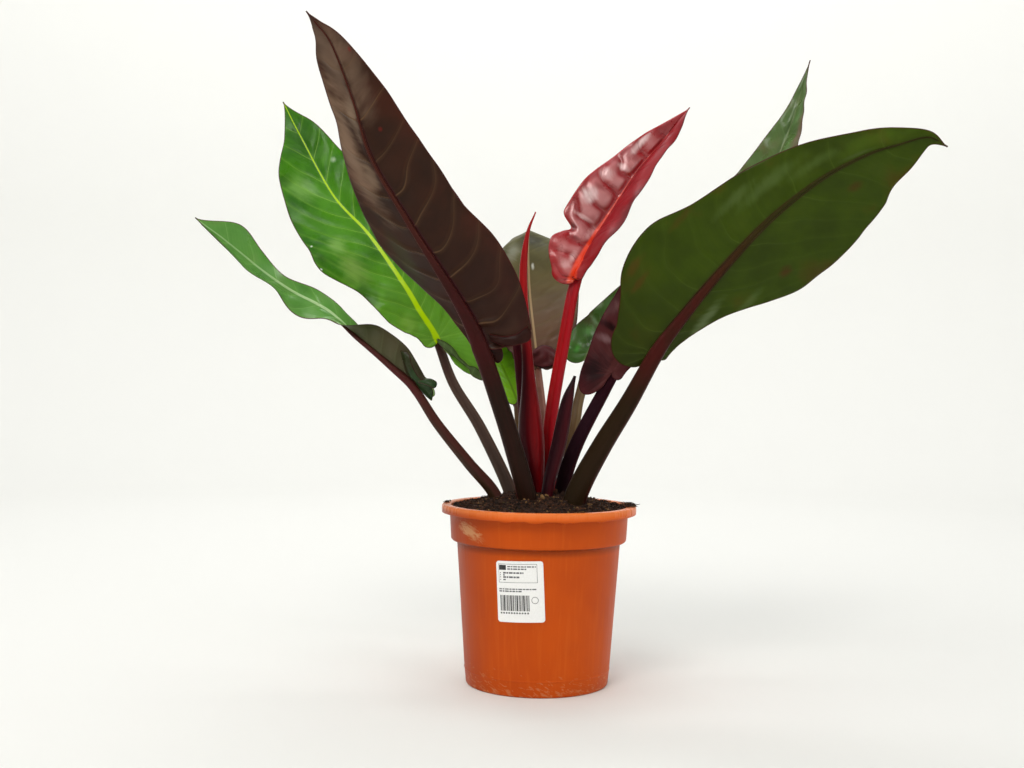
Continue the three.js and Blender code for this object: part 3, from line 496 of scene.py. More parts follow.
# Flesh of a leaf: a waxy skin, glossy above and satin below. Widths in mm. tones, in order: body and deep
# (blotches of two tones), base (near the stalk), side veins, midrib, margin, and flush (red-brown blotches
# near the margin). show: strength of the veins, strength of the flush, and the share of the length that base
# reaches. finish: least and most roughness, how much the skin itself mirrors, and its coat. crest sheen: tone
# and strength of the painted sheen where the blade swells up. shade: painted shade beside each side vein.
# tint: of the mirrored light. ribReach: the larger, the later the midrib's tone fades. patches: painted
# sheen, highlights and shade, and stains (share along, mm across, half length, half width, strength, tone).
leafLooks = {
    "greenFace": {"tones": "#629a40 #427828 #7cb450 #88b860 #b8d49c #4a2018 #4a3a1c",
                  "show": (0.3, 0.4, 0.35), "finish": (0.26, 0.42, 0.3, 0.12)},
    "mossFace": {
        "tones": "#5c743e #465f2c #44742a #62804a #768452 #4a2418 #5a3a26",
        "show": (0.3, 0.8, 0.6), "finish": (0.24, 0.4, 0.3, 0.08), "crestSheen": ("#5c8a4a", 0.5),
        # patches: a brown stain, a darker patch near the stalk, and painted highlights on the ridges of the
        # lobe
        "patches": [(0.8, 20, 0.1, 8, 0.8, "#6a4e40"), (0.04, -10, 0.06, 10, 0.7, "#1e3c14"),
                    (0.09, -40, 0.02, 6, 0.7, "#a0b890"), (0.055, -28, 0.012, 11, 0.7, "#8cb884"),
                    (0.03, -20, 0.012, 8, 0.6, "#6cb45c"), (-0.01, -17, 0.02, 5, 0.8, "#54ac40")]},
    "brightGreenFace": {
        "tones": "#4c8a18 #2c600e #6ea632 #8cbc44 #b4d800 #4a3018 #285210", "ribReach": 1.8,
        "show": (0.5, 0.9, 0.45), "finish": (0.14, 0.45, 0.1, 0.05), "crestSheen": ("#6aa42c", 0.45),
        # patches: darker patches, painted sheen in the lighter ones, a painted highlight and two painted
        # glints
        "patches": [(0.84, 0, 0.14, 32, 0.8, "#2a5414"), (0.66, -60, 0.2, 8, 0.7, "#2c5814"),
                    (0.67, -30, 0.07, 20, 0.45, "#88b45c"), (0.62, 20, 0.12, 18, 0.5, "#3a6c18"),
                    (0.42, -66, 0.06, 8, 0.7, "#2c5412"), (0.44, -40, 0.05, 14, 0.4, "#9cc06c"),
                    (0.33, -40, 0.08, 18, 0.5, "#86a050"), (0.24, -60, 0.04, 10, 0.5, "#2e5c12"),
                    (0.08, -20, 0.05, 14, 0.4, "#88a844"), (0.72, 22, 0.016, 5, 0.6, "#b4c8a8"),
                    (0.49, -64, 0.006, 2, 0.8, "#eef4ea"), (0.38, -73, 0.006, 2, 0.8, "#eef4ea")]},
    "mottledFace": {"tones": "#8ccc22 #5ca418 #90d024 #6ea02c #6c9e1e #4a3018 #3c4a18",
                    "show": (0.4, 0.5, 0.45), "finish": (0.2, 0.45, 0.18, 0.05)},
    "darkFace": {"tones": "#26381a #1c2c14 #243a1c #3c4a28 #4a5630 #3c1414 #301c18",
                 "show": (0.4, 0.5, 0.35), "finish": (0.25, 0.4, 0.16, 0.05)},
    "greyFace": {
        "tones": "#5e5a30 #48482a #663e36 #625c3a #a08460 #3c2420 #422824",
        "show": (0.3, 0.6, 0.7), "finish": (0.32, 0.5, 0.12, 0),
        # patches: a painted highlight, painted sheen on the left, and darker patches
        "patches": [(0.48, 5, 0.02, 2.6, 0.85, "#c8c8bc"), (0.57, -20, 0.07, 12, 0.5, "#8c8e80"),
                    (0.55, -40, 0.16, 12, 0.6, "#848676"), (0.62, 4, 0.07, 26, 0.75, "#26261a"),
                    (0.02, 14, 0.06, 22, 0.7, "#3a2024")]},
    "redFace": {
        "tones": "#961a20 #7c1218 #b42226 #76090f #f04c28 #9c1018 #a01018", "ribReach": 0.5,
        "tint": "#ffd8d8", "marginWidth": 3,
        "show": (0.6, 0.9, 0.3), "finish": (0.22, 0.36, 0.95, 0.3), "crestSheen": ("#e4acac", 0.45),
        # patches: painted highlights on the swells, and painted shade between them and in the notch
        "patches": [(0.36, -31, 0.05, 11, 0.9, "#f4dcdc"), (0.49, -28, 0.035, 10, 0.7, "#f0d4d4"),
                    (0.56, -17, 0.02, 9, 0.65, "#f0d0d0"), (0.7, -18, 0.09, 5, 0.75, "#f0d4d4"),
                    (0.26, -24, 0.014, 16, 0.7, "#e8c0c0"), (0.22, -5, 0.05, 7, 0.55, "#e8b8b8"),
                    (0.08, -11, 0.03, 5, 0.8, "#f4cccc"), (0.09, -25, 0.04, 5, 0.5, "#e4a4a4"),
                    (0.04, -16, 0.02, 8, 0.6, "#f0c0c0"), (0.42, -25, 0.02, 9, 0.6, "#6e0c14"),
                    (0.62, -12, 0.02, 8, 0.5, "#7a1018"), (0.2, -28, 0.022, 9, 1, "#22040a"),
                    (0.16, -19, 0.012, 8, 0.7, "#5a0810")]},
    "redFoldFace": {
        "tones": "#9c0e1a #7e0812 #a01018 #7c0e16 #e8442a #5e0810 #640a14", "ribReach": 0.4,
        "show": (0.15, 0.7, 0.3), "finish": (0.34, 0.5, 0.3, 0.06),
        "patches": [(0.4, 32, 0.5, 7, 0.7, "#54060f")]},
    "purpleFace": {
        "tones": "#4c2022 #341416 #562628 #502c2a #502626 #3a1014 #46141a",
        "show": (0.25, 0.4, 0.4), "finish": (0.32, 0.46, 0.1, 0), "crestSheen": ("#6c4440", 0.15),
        # patches: a painted highlight, painted shade of a fold, painted sheen and a darker lower end
        "patches": [(0.115, -25, 0.024, 12, 0.6, "#8a686c"), (0.175, -26, 0.02, 18, 0.95, "#12060a"),
                    (0.28, -24, 0.03, 12, 0.65, "#7c5452"), (-0.04, -20, 0.12, 26, 0.95, "#1c0c0f")]},
    "bronzeUnder": {
        "tones": "#34190a #271206 #301008 #64482f #3c1016 #400c10 #4a1810", "shade": "#180a06",
        "show": (0.75, 0.3, 0.4), "finish": (0.3, 0.44, 0.18, 0), "crestSheen": ("#54392a", 0.45),
        # patches: painted sheen in the pale ones, a greenish patch, a darker base and two red flecks
        "patches": [(0.85, 8, 0.2, 20, 0.6, "#7c6452"), (0.64, 24, 0.24, 17, 0.8, "#866c58"),
                    (0.7, 6, 0.07, 9, 0.7, "#86705c"), (0.3, 34, 0.12, 14, 0.7, "#36361a"),
                    (0.1, -30, 0.16, 40, 0.5, "#241004"), (0.82, -10, 0.16, 13, 0.4, "#7c6452"),
                    (0.55, 12, 0.05, 10, 0.5, "#8c745e"), (0.87, -14, 0.008, 2, 0.6, "#7c1814"),
                    (0.66, -18, 0.01, 3, 0.5, "#7c1814")]},
    "maroonUnder": {"tones": "#281008 #1c0a06 #260c06 #3c1c16 #3c1016 #4a1a18 #3c100c",
                    "show": (0.3, 0.4, 0.4), "finish": (0.34, 0.5, 0.12, 0.02)},
    "darkGreenUnder": {
        "tones": "#364802 #2c3a02 #262e00 #46581a #3a1a10 #40140e #4a260a",
        "show": (0.35, 0.5, 0.3), "finish": (0.32, 0.46, 0.12, 0.02), "crestSheen": ("#3e4c12", 0.3),
        # patches: painted sheen in the pale green ones, and red-brown stains
        "patches": [(0.54, 29, 0.11, 9, 0.3, "#5e7240"), (0.66, 17, 0.1, 7, 0.28, "#5a6e38"),
                    (0.15, -21, 0.09, 7, 0.6, "#66744e"), (0.82, 12, 0.12, 9, 0.35, "#4e6618"),
                    (0.27, -45, 0.06, 6, 0.4, "#56683a"), (0.15, 72, 0.05, 6, 0.45, "#54340f"),
                    (0.12, 57, 0.05, 4, 0.45, "#54300f"), (0.32, 66, 0.06, 5, 0.4, "#4c340e"),
                    (0.45, 40, 0.09, 7, 0.3, "#5e7040"), (0.4, -52, 0.03, 7, 0.6, "#4a200e"),
                    (0.72, -24, 0.03, 6, 0.5, "#4a260e")]},
    "greenUnder": {"tones": "#45642a #365020 #4a5a30 #70904c #7c9a54 #3c2418 #40401e",
                   "show": (0.4, 0.4, 0.35), "finish": (0.42, 0.55, 0.2, 0.02)},
    "oliveUnder": {"tones": "#474a2a #35391e #443e28 #585c3e #4a201c #301812 #402c1e",
                   "show": (0.35, 0.5, 0.35), "finish": (0.34, 0.48, 0.22, 0.05), "crestSheen": ("#5c5c44", 0.4)},
    "brownUnder": {"tones": "#4c3626 #3a2a1c #44301f #5e4836 #4a281c #3c1814 #4c2220",
                   "show": (0.3, 0.5, 0.35), "finish": (0.4, 0.52, 0.2, 0.04)},
    "redUnder": {"tones": "#8c1620 #720e16 #9a1822 #a02830 #a41a22 #600a12 #640c14",
                 "show": (0.2, 0.3, 0.35), "finish": (0.28, 0.4, 0.3, 0.2)},
}
# Sizes in mm: of the blotches, the grain and the wet spots, and of a side vein near and far from the midrib.
# veinlets: fine lines to each side vein. unevenness: what sets each finish's blotches apart
leafTexture = {"blotch": 38, "grain": 1.6, "wetSpot": 18, "veinNear": 0.8, "veinFar": 0.35,
               "marginWidth": 1.2, "veinlets": 7, "unevenness": 3.7, "coatRoughness": 0.15}


def leafMaterial(name, look, seed):
    body, deep, base, vein, midrib, margin, flush = look["tones"].split()
    veinShow, flushShow, baseReach = look["show"]
    leastRough, mostRough, gloss, coat = look["finish"]
    material, tree = newMaterial("waxy_leaf_" + name, {
        "IOR": fleshIor, "Specular IOR Level": gloss, "Specular Tint": linear(look.get("tint", "#ffffff")),
        "Coat Weight": coat, "Coat Roughness": leafTexture["coatRoughness"]})
    place, edge, relief = [add(tree, "Attribute", attribute_name=key).outputs["Vector"]
                           for key in ("leafPlace", "leafEdge", "leafSwell")]
    phase, across, share = add(tree, "SeparateXYZ", [place]).outputs
    toMargin, spacing, ribHalf = add(tree, "SeparateXYZ", [edge]).outputs
    swell, veinDepth, _ = add(tree, "SeparateXYZ", [relief]).outputs
    where = add(tree, "TexCoord").outputs["Object"]
    blotches = add(tree, "TexNoise", {"Vector": where, "Scale": 1000 / leafTexture["blotch"], "Detail": 4,
                                      "W": seed * leafTexture["unevenness"]}, noise_dimensions="4D")
    grain, wet = [add(tree, "TexNoise", {"Vector": where, "Scale": 1000 / leafTexture[key], "Detail": 3})
                  for key in ("grain", "wetSpot")]
    width = add(tree, "Math", [across], operation="ABSOLUTE")
    # Side veins: fine lines that thin out and fade away from the midrib
    toVein = add(tree, "Math", [phase, 0.5], operation="PINGPONG")
    veinGap = add(tree, "Math", [toVein, spacing], **times)
    veinWide = add(tree, "MapRange", [width, 0, 35, leafTexture["veinNear"], leafTexture["veinFar"]])
    veinShare = add(tree, "Math", [veinGap, veinWide], operation="DIVIDE")
    veinLine = add(tree, "MapRange", [veinShare, 0.4, 1.3, 1, 0], **soft)
    veinFade = add(tree, "MapRange", [width, 4, 45, 1, 0.25])
    veinPart = add(tree, "Math", [veinLine, veinFade], **times)
    for factor in (veinDepth, veinShow):
        veinPart = add(tree, "Math", [veinPart, factor], **times)
    halo = add(tree, "MapRange", [veinGap, 0, 5, 0.3 * veinShow, 0])
    # Veinlets: fine lines between the side veins and along them
    veinletTurn = add(tree, "Math", [phase, fullTurn * leafTexture["veinlets"]], **times)
    veinletWave = add(tree, "Math", [veinletTurn], operation="SINE")
    veinletPart = add(tree, "MapRange", [veinletWave, -1, 1, 0, 0.14])
    # Midrib, paler near the stalk
    toRib = add(tree, "Math", [width, ribHalf], operation="DIVIDE")
    ribLine = add(tree, "MapRange", [toRib, 0.75, 1.2, 1, 0], **soft)
    ribFade = add(tree, "MapRange", [share, 0.1, look.get("ribReach", 0.8), 1, 0.4])
    ribPart = add(tree, "Math", [ribLine, ribFade], **times)
    # Red-brown flush in blotches, strongest near the margin
    flushEdge = add(tree, "MapRange", [toMargin, 0, 30, 1, 0.1])
    flushSpot = add(tree, "MapRange", [blotches, 0.5, 0.68, 0, 1], **soft)
    flushBoth = add(tree, "Math", [flushEdge, flushSpot], **times)
    flushPart = add(tree, "Math", [flushBoth, flushShow], **times)
    marginWidth = look.get("marginWidth", leafTexture["marginWidth"])
    marginPart = add(tree, "MapRange", [toMargin, marginWidth * 0.4, marginWidth, 1, 0])
    basePart = add(tree, "MapRange", [share, -0.1, baseReach, 0.9, 0], **soft)
    tonePart = add(tree, "MapRange", [blotches, 0.35, 0.65, 0, 1])
    layers = [(tonePart, body), (basePart, base), (halo, vein), (veinletPart, deep)]
    if "shade" in look:  # the side of the vein that turns away from the light
        pastVein = add(tree, "Math", [phase], operation="FRACT")
        pastGap = add(tree, "Math", [pastVein, spacing], **times)
        besideVein = add(tree, "MapRange", [pastGap, 0.3, 3.2, 0.7, 0])
        layers.append((add(tree, "Math", [besideVein, veinFade], **times), look["shade"]))
    if "crestSheen" in look:  # painted sheen on the swells, broken up, so that it doesn't look drawn
        tone, strength = look["crestSheen"]
        crestUp = add(tree, "MapRange", [swell, 0.35, 1, 0, strength], **soft)
        crestBreak = add(tree, "MapRange", [blotches, 0.35, 0.6, 0.3, 1])
        layers.append((add(tree, "Math", [crestUp, crestBreak], **times), tone))
    alongVeins = add(tree, "VectorMath", [place, (5, 0.06, 4)], **times)
    veinStreaks = add(tree, "TexNoise", {"Vector": alongVeins, "Scale": 1, "Detail": 3})
    mottle = add(tree, "Math", [blotches, veinStreaks], operation="ADD")
    # Patches: painted sheen, highlights and shade, and stains, each with a ragged edge
    for at, aside, length, wide, strength, tone in look.get("patches", []):
        toPatch = add(tree, "VectorMath", [place, (0, aside, at)], operation="SUBTRACT")
        sized = add(tree, "VectorMath", [toPatch, (0, 1 / wide, 1 / length)], **times)
        far = add(tree, "VectorMath", [sized], operation="LENGTH").outputs["Value"]
        ragged = add(tree, "Math", [mottle, -0.9, far], operation="MULTIPLY_ADD")
        layers.append((add(tree, "MapRange", [ragged, -0.8, 0.2, strength, 0], **soft), tone))
    layers += [(flushPart, flush), (veinPart, vein), (ribPart, midrib), (marginPart, margin)]
    paint(tree, deep, layers)
    add(tree, "MapRange", [wet, 0.35, 0.6, leastRough, mostRough], into="Roughness")
    fine = add(tree, "Math", [grain, 0.5, veinletPart], operation="MULTIPLY_ADD")
    add(tree, "Bump", {"Height": fine, "Strength": 0.2, "Distance": 0.0004}, into="Normal")
    return material


leafMaterials = {name: leafMaterial(name, look, i) for i, (name, look) in enumerate(leafLooks.items())}
lines = {name: midline(leaf) for name, leaf in leaves.items()}
for i, (name, leaf) in enumerate(leaves.items()):
    makeBlade(name, leaf, lines[name], i + 1)
print("blades made:", len(leaves))


# Rolled lobes and curled margins: rows of a near and a far point of the middle surface, in mm.
# swell: how far it rounds forwards. pucker: how crumpled it is. look: its finish, and slot its material slot
flaps = {
    "lobe_far_left": {
        "swell": 2.5, "look": "darkFace", "slot": "green_leaf",
        "rows": [(-152.3, 2, 355.7, -151.3, 2, 356.1), (-150.3, 0, 347.3, -142.5, -6, 351.5),
                 (-146.1, -2, 334.8, -138.7, -8, 340.4), (-141.3, -3, 327.5, -134.4, -9, 332.1),
                 (-136.1, -3, 322.4, -128.7, -9, 325.3), (-133.3, 0, 317.4, -120.2, -10, 319.7),
                 (-125.1, 2, 307.9, -115.8, -8, 312.8), (-118.4, 0, 302.3, -117.3, -1, 302.8)]},
    "curl_far_left": {
        "swell": 2.5, "look": "darkFace", "slot": "green_leaf",
        "rows": [(-131.6, -9, 321.6, -131.1, -9, 323.8), (-125.4, -13, 320, -125.1, -10, 325.6),
                 (-119.8, -15, 318.1, -119.2, -10, 326.1), (-116.6, -15, 316, -112.9, -10, 323.3),
                 (-114.9, -14, 315.8, -111.6, -11, 320.1), (-113.9, -13, 316.1, -112.5, -12, 317.4)]},
    "lobe_front_left": {
        "swell": 3, "look": "maroonUnder", "slot": "bronze_leaf",
        "rows": [(-58.4, -60, 357.4, -58.4, -57, 350.2), (-54.8, -61, 361, -54.7, -57, 346.1),
                 (-50.2, -61, 362.3, -50, -57, 344.1), (-45.4, -60, 361.7, -45.2, -57, 343.2),
                 (-42.3, -58, 358.2, -41.7, -56, 346.3), (-41, -56, 354.1, -40.8, -55, 349.9)]},
    "corner_front_left": {
        "swell": 1.5, "look": "maroonUnder", "slot": "bronze_leaf",
        "rows": [(-55.4, -68.6, 372.6, -52.7, -68.5, 365.4), (-50.2, -68.6, 371.6, -45.5, -69.5, 362.4),
                 (-44, -68.6, 370.7, -37.7, -70.5, 359.9), (-35.8, -69, 370.8, -29.5, -71.5, 360.5),
                 (-27.6, -69.8, 372.9, -21.3, -72.5, 362.7), (-21.5, -71, 377.1, -15.2, -73, 365.3),
                 (-17.5, -72, 380.2, -12.2, -73, 368.9), (-15.9, -72.5, 381.7, -11.7, -73, 374.1)]},
    "curl_back_left": {
        "swell": 2, "look": "greenUnder", "slot": "green_leaf",
        "rows": [(-115.8, 59, 371.7, -114.6, 58, 366), (-108.9, 57, 368.9, -109.1, 54, 360.9),
                 (-101.4, 54.5, 364.4, -101.7, 50, 354.7), (-95.6, 52.5, 358.8, -95.8, 48, 350.9),
                 (-90.3, 50, 351, -90.8, 46.5, 346.6), (-85.1, 48, 346.5, -85.5, 45, 342),
                 (-79.4, 46, 341.5, -79.5, 43.5, 337.6), (-72.6, 44.5, 339.9, -76.2, 42, 330.4),
                 (-67.5, 43.5, 335.5, -68.4, 42, 326), (-63.5, 43, 328.9, -64, 42.5, 324.9)]},
    "curl_back_centre": {
        "swell": 3, "pucker": 2.4, "look": "purpleFace", "slot": "grey_leaf",
        "rows": [(-7, 108, 361.5, -9.2, 103, 345.1), (-1.2, 109, 365.2, -2.3, 100, 342.2),
                 (4.6, 110, 367.6, 4.7, 98, 341.1), (11.6, 110, 366.5, 11.6, 98, 342.4),
                 (17.5, 109, 363.1, 18.6, 100, 346), (21.6, 108, 358.4, 22.7, 103, 352.5)]},
}
# full: width at which a flap rounds fully forwards. veinSpacing and ribGap: its place in the leaf's pattern
flapMesh = {"steps": 48, "columns": 14, "pucker": 0.5, "puckerSize": 9, "full": 8, "veinSpacing": 9,
            "ribGap": 6, "firstSeed": 40}


def makeFlap(name, flap, seed):
    steps, columns = flapMesh["steps"], flapMesh["columns"]
    rows = np.array(flap["rows"], float)
    share, t = np.linspace(0, 1, steps + 1), np.linspace(0, 1, columns + 1)
    outline = np.stack([along(column, share) for column in rows.T], -1)
    near, far = outline[:, :3], outline[:, 3:]
    points = near[:, None] * (1 - t)[None, :, None] + far[:, None] * t[None, :, None]
    width = np.linalg.norm(far - near, axis=1)[:, None] * np.ones(columns + 1)
    length = share[:, None] * np.linalg.norm(rows[-1, :3] - rows[0, :3]) + 0 * t
    ease = np.minimum(width / flapMesh["full"], 1) * np.sin(math.pi * t)[None, :] ** 0.8
    crumple = flap.get("pucker", flapMesh["pucker"]) * ripple(length, width * t, flapMesh["puckerSize"], seed)
    points[..., 1] -= (flap["swell"] + crumple) * ease
    grid = points.reshape(-1, 3)
    faces = gridFaces(steps, columns)
    normals = normalsOf(grid, faces)
    if normals[:, 1].mean() > 0:  # the front looks at -Y
        faces = [face[::-1] for face in faces]
        normals = -normals
    half = (bladeThickness / 2 * (1 - 0.5 * np.abs(2 * t - 1) ** 6)[None, :] + 0 * width).reshape(-1, 1)
    edge = np.minimum(t, 1 - t)[None, :] * width
    level = 0 * edge
    made = closedSheet(name, grid, normals, half, faces, [leafMaterials[flap["look"]]], [0] * len(faces), 0, {
        "leafPlace": [length / flapMesh["veinSpacing"], flapMesh["ribGap"] + edge, level - 0.1],
        "leafEdge": [edge, level + flapMesh["veinSpacing"], level + 0.5],
        "leafSwell": [level, level + 0.5, level]})


for i, (name, flap) in enumerate(flaps.items()):
    makeFlap(name, flap, i + flapMesh["firstSeed"])
print("rolled lobes and curls made:", len(flaps))


# Smooth fleshy stalks. Tones, in order: flesh, the foot at the soil, the side along one edge, the neck at the
# blade, and the rib further on. Then where the side starts, from 1 at the right to -1 at the left, how much
# the skin mirrors, and the strength of its long streaks
stalkLooks = {
    "redBrownStalk": ("#3c2016 #2f2414 #46201a #4e161a #3a221a", -0.5, 0.16, 0.2),
    "greyBrownStalk": ("#4a352c #3f3228 #584238 #3c1618 #4c6c2c", 0.4, 0.25, 0.2),
    "darkStalk": ("#221610 #21160e #600e16 #3a1414 #46221a", 0.9, 0.07, 0.08),
    "burgundyStalk": ("#340a12 #280c12 #4c0e18 #400c14 #34180f", 0.4, 0.06, 0.2),
    "tanStalk": ("#5c4528 #443420 #6c583a #543828 #4c3626", 0.3, 0.2, 0.2),
    "pinkStalk": ("#7c4e42 #54382a #986a5c #945e50 #54382a", 0.2, 0.25, 0.2),
    "redStalk": ("#a4060e #5a0206 #ac1420 #a01826 #8c1620", 0.2, 0.22, 0.2),
    "purpleStalk": ("#28141c #180c0e #300c14 #2c0c14 #34180f", 0.8, 0.03, 0.2),
    "redEdgeStalk": ("#271a0c #261c0e #381410 #441412 #2c2c0c", -0.75, 0.07, 0.1),
}
stalkRoughness = 0.36
sideBlur = 0.15


def stalkMaterial(name, tones, sideAt, gloss, streak):
    flesh, foot, side, neck, rib = tones.split()
    material, tree = newMaterial("fleshy_" + name, {"IOR": fleshIor, "Specular IOR Level": gloss,
                                                    "Roughness": stalkRoughness})
    place = add(tree, "Attribute", attribute_name="stalkPlace").outputs["Vector"]
    right, front, share = add(tree, "SeparateXYZ", [place]).outputs
    where = add(tree, "TexCoord").outputs["Object"]
    # Long streaks: the noise is squeezed round the stalk, about 1.5 mm wide and 60 mm long
    spread = add(tree, "VectorMath", [add(tree, "CombineXYZ", [right, front]), (4, 4, 0)], **times)
    lift = add(tree, "VectorMath", [where, (0, 0, 16)], **times)
    streakAt = add(tree, "VectorMath", [spread, lift], operation="ADD")
    streaks = add(tree, "TexNoise", {"Vector": streakAt, "Scale": 1.6, "Detail": 5})
    blotches = add(tree, "TexNoise", {"Vector": where, "Scale": 60, "Detail": 4})
    outward = add(tree, "Math", [right, 1 if sideAt > 0 else -1], **times)
    start = abs(sideAt)
    sidePart = add(tree, "MapRange", [outward, start - sideBlur, start + sideBlur, 0, 0.9], **soft)
    neckPart = add(tree, "MapRange", [share, -0.3, 0, 0, 0.85], **soft)
    footPart = add(tree, "MapRange", [share, -0.9, -0.35, 0.85, 0], **soft)
    ribPart = add(tree, "MapRange", [share, 0.1, 0.55, 0, 0.9], **soft)
    streakPart = add(tree, "MapRange", [streaks, 0.35, 0.7, 0, streak])
    blotchPart = add(tree, "MapRange", [blotches, 0.5, 0.75, 0, 0.5])
    paint(tree, flesh, [(footPart, foot), (neckPart, neck), (blotchPart, foot), (sidePart, side),
                        (streakPart, side), (ribPart, rib)])
    add(tree, "Bump", {"Height": streaks, "Strength": 0.3, "Distance": 0.0006}, into="Normal")
    return material


# ribEnd: share of the blade where the midrib stops. thick: depth for a width. broad: part of the width that
# narrows evenly along the rib. ribInset: how far the rib's skin stays in from its edges under the blade.
# grownOver: mm of the rib over which it grows onto the blade
stalkShape = {"ribEnd": 0.97, "thick": 0.85, "tipThick": 0.5, "broad": 0.8, "topRise": 0.8, "groove": 0.3,
              "grooveWidth": 0.45, "flutes": 9, "fluteDepth": 0.02, "ribInset": 0.92, "grownOver": 12}


def makeStalk(name, leaf, line, material):
    sides = leafMesh["sides"]
    soilWidth, bladeWidth = leaf["stalkWidth"]
    distances = np.concatenate([np.linspace(-line["stalkLength"], 0, leafMesh["stalkRings"], endpoint=False),
                                np.linspace(0, stalkShape["ribEnd"] * line["ribLength"],
                                            leafMesh["ribRings"])])
    below = np.clip(-distances / line["stalkLength"], 0, 1)
    beyond = np.clip(distances / line["ribLength"], 0, 1)
    onRib = distances > 0
    broad = bladeWidth * stalkShape["broad"]
    ribWidth = (ribTipWidth + (broad - ribTipWidth) * (1 - beyond) ** 2.4
                + (bladeWidth - broad) * (1 - beyond) ** 9)
    width = np.where(onRib, ribWidth, bladeWidth + (soilWidth - bladeWidth) * below)
    thick = stalkShape["thick"]
    depth = np.where(onRib, thick - (thick - stalkShape["tipThick"]) * np.sqrt(beyond), thick) * width
    angle = fullTurn * (np.arange(sides) + 0.5) / sides
    cos, sin = np.cos(angle), np.sin(angle)
    across = -width[:, None] / 2 * cos
    # The upper side is nearly flat, with a shallow groove between two ridges, and the back is faintly fluted
    groove = 1 - stalkShape["groove"] * np.exp(-(cos / stalkShape["grooveWidth"]) ** 2)
    upper = stalkShape["topRise"] * np.abs(sin) ** 0.7 * groove
    lower = sin * (1 + stalkShape["fluteDepth"] * np.cos(stalkShape["flutes"] * angle))
    rise = depth[:, None] / 2 * np.where(sin > 0, upper, lower)
    place, ahead, side, face = frameAt(line, distances)
    centre = (-bladeThickness / 2 - ribDrop - depth * 0.4)[:, None]
    points = place[:, None] + side[:, None] * across[..., None] + face[:, None] * (centre + rise)[..., None]
    # Under the blade the top of the midrib follows the blade
    halves = np.where(across > 0, *(halfWidths(leaf, half, beyond)[:, None] for half in (1, 0)))
    under = bladePoints(leaf, line, distances[:, None] + 0 * across, across * stalkShape["ribInset"],
                        np.clip(np.abs(across) / halves, 0, 1))
    under = under - face[:, None] * bladeThickness / 2
    grown = (smooth(distances, 0, stalkShape["grownOver"])[:, None] * (sin > 0))[..., None]
    points = points * (1 - grown) + under * grown
    share = (distances / np.where(onRib, line["ribLength"], line["stalkLength"]))[:, None]
    marks = np.stack([-cos + 0 * across, sin + 0 * across, share + 0 * across], -1)
    made = piece("petiole_" + name, points.reshape(-1, 3), ringFaces(len(distances), sides), [material],
                 marks={"stalkPlace": marks})
    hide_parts("stalk_" + name)


stalkMaterials = {name: stalkMaterial(name, *look) for name, look in stalkLooks.items()}
for name, leaf in leaves.items():
    makeStalk(name, leaf, lines[name], stalkMaterials[leaf["stalkLook"]])
print("stalks made")


# Smooth crimson wraps. Points of the midline and the width there, in mm. Tones, in order: the dark side, the
# bright side and the tip, which starts and is complete at the heights tipFrom and tipTo
sheaths = {
    "new_sheath": {
        "line": [(-3, -3, 168.5), (-2, -3, 210), (-9, -4, 261), (-13, -4, 326), (-17, -4, 380),
                 (-20, -4, 423), (-20, -4, 455), (-16, -3, 486), (-8, 0, 508)],
        "width": [8, 13, 28, 15, 10, 9, 8, 4, 1.5],
        "tones": ("#30040a", "#78080e", "#a81c1e"), "tipFrom": 340, "tipTo": 430,
    },
    "old_sheath": {
        "line": [(7, -20, 168.5), (9, -22, 212), (20, -22, 259), (28, -21, 303), (36, -20, 331)],
        "width": [10, 13, 16, 13, 3],
        "tones": ("#22080e", "#400c14", "#200c0e"), "tipFrom": 300, "tipTo": 330,
    },
}
# seam: where the edge that wraps over stands on the front, in radians, with its breadth and height, and the
# groove beside it
sheathSkin = {"rings": 90, "sides": 28, "seam": 5.2, "seamBreadth": 0.16, "seamHeight": 0.045, "groove": 4.95,
              "grooveBreadth": 0.14, "grooveDepth": 0.1, "roughness": 0.3, "gloss": 0.08}


def sheathMaterial(name, sheath):
    dark, bright, tip = sheath["tones"]
    material, tree = newMaterial("fleshy_" + name, {"Roughness": sheathSkin["roughness"],
                                                    "Specular IOR Level": sheathSkin["gloss"]})
    place = add(tree, "Attribute", attribute_name="stalkPlace").outputs["Vector"]
    right, _, height = add(tree, "SeparateXYZ", [place]).outputs
    where = add(tree, "TexCoord").outputs["Object"]
    stretch = add(tree, "VectorMath", [where, (500, 500, 25)], **times)
    streaks = add(tree, "TexNoise", {"Vector": stretch, "Scale": 1, "Detail": 4})
    sidePart = add(tree, "MapRange", [right, -0.6, 0.5, 0, 1], **soft)
    tipPart = add(tree, "MapRange", [height, sheath["tipFrom"], sheath["tipTo"], 0, 1], **soft)
    streakPart = add(tree, "MapRange", [streaks, 0.4, 0.7, 0, 0.35])
    paint(tree, dark, [(sidePart, bright), (tipPart, tip), (streakPart, dark)])
    add(tree, "Bump", {"Height": streaks, "Strength": 0.25, "Distance": 0.0005}, into="Normal")
    return material


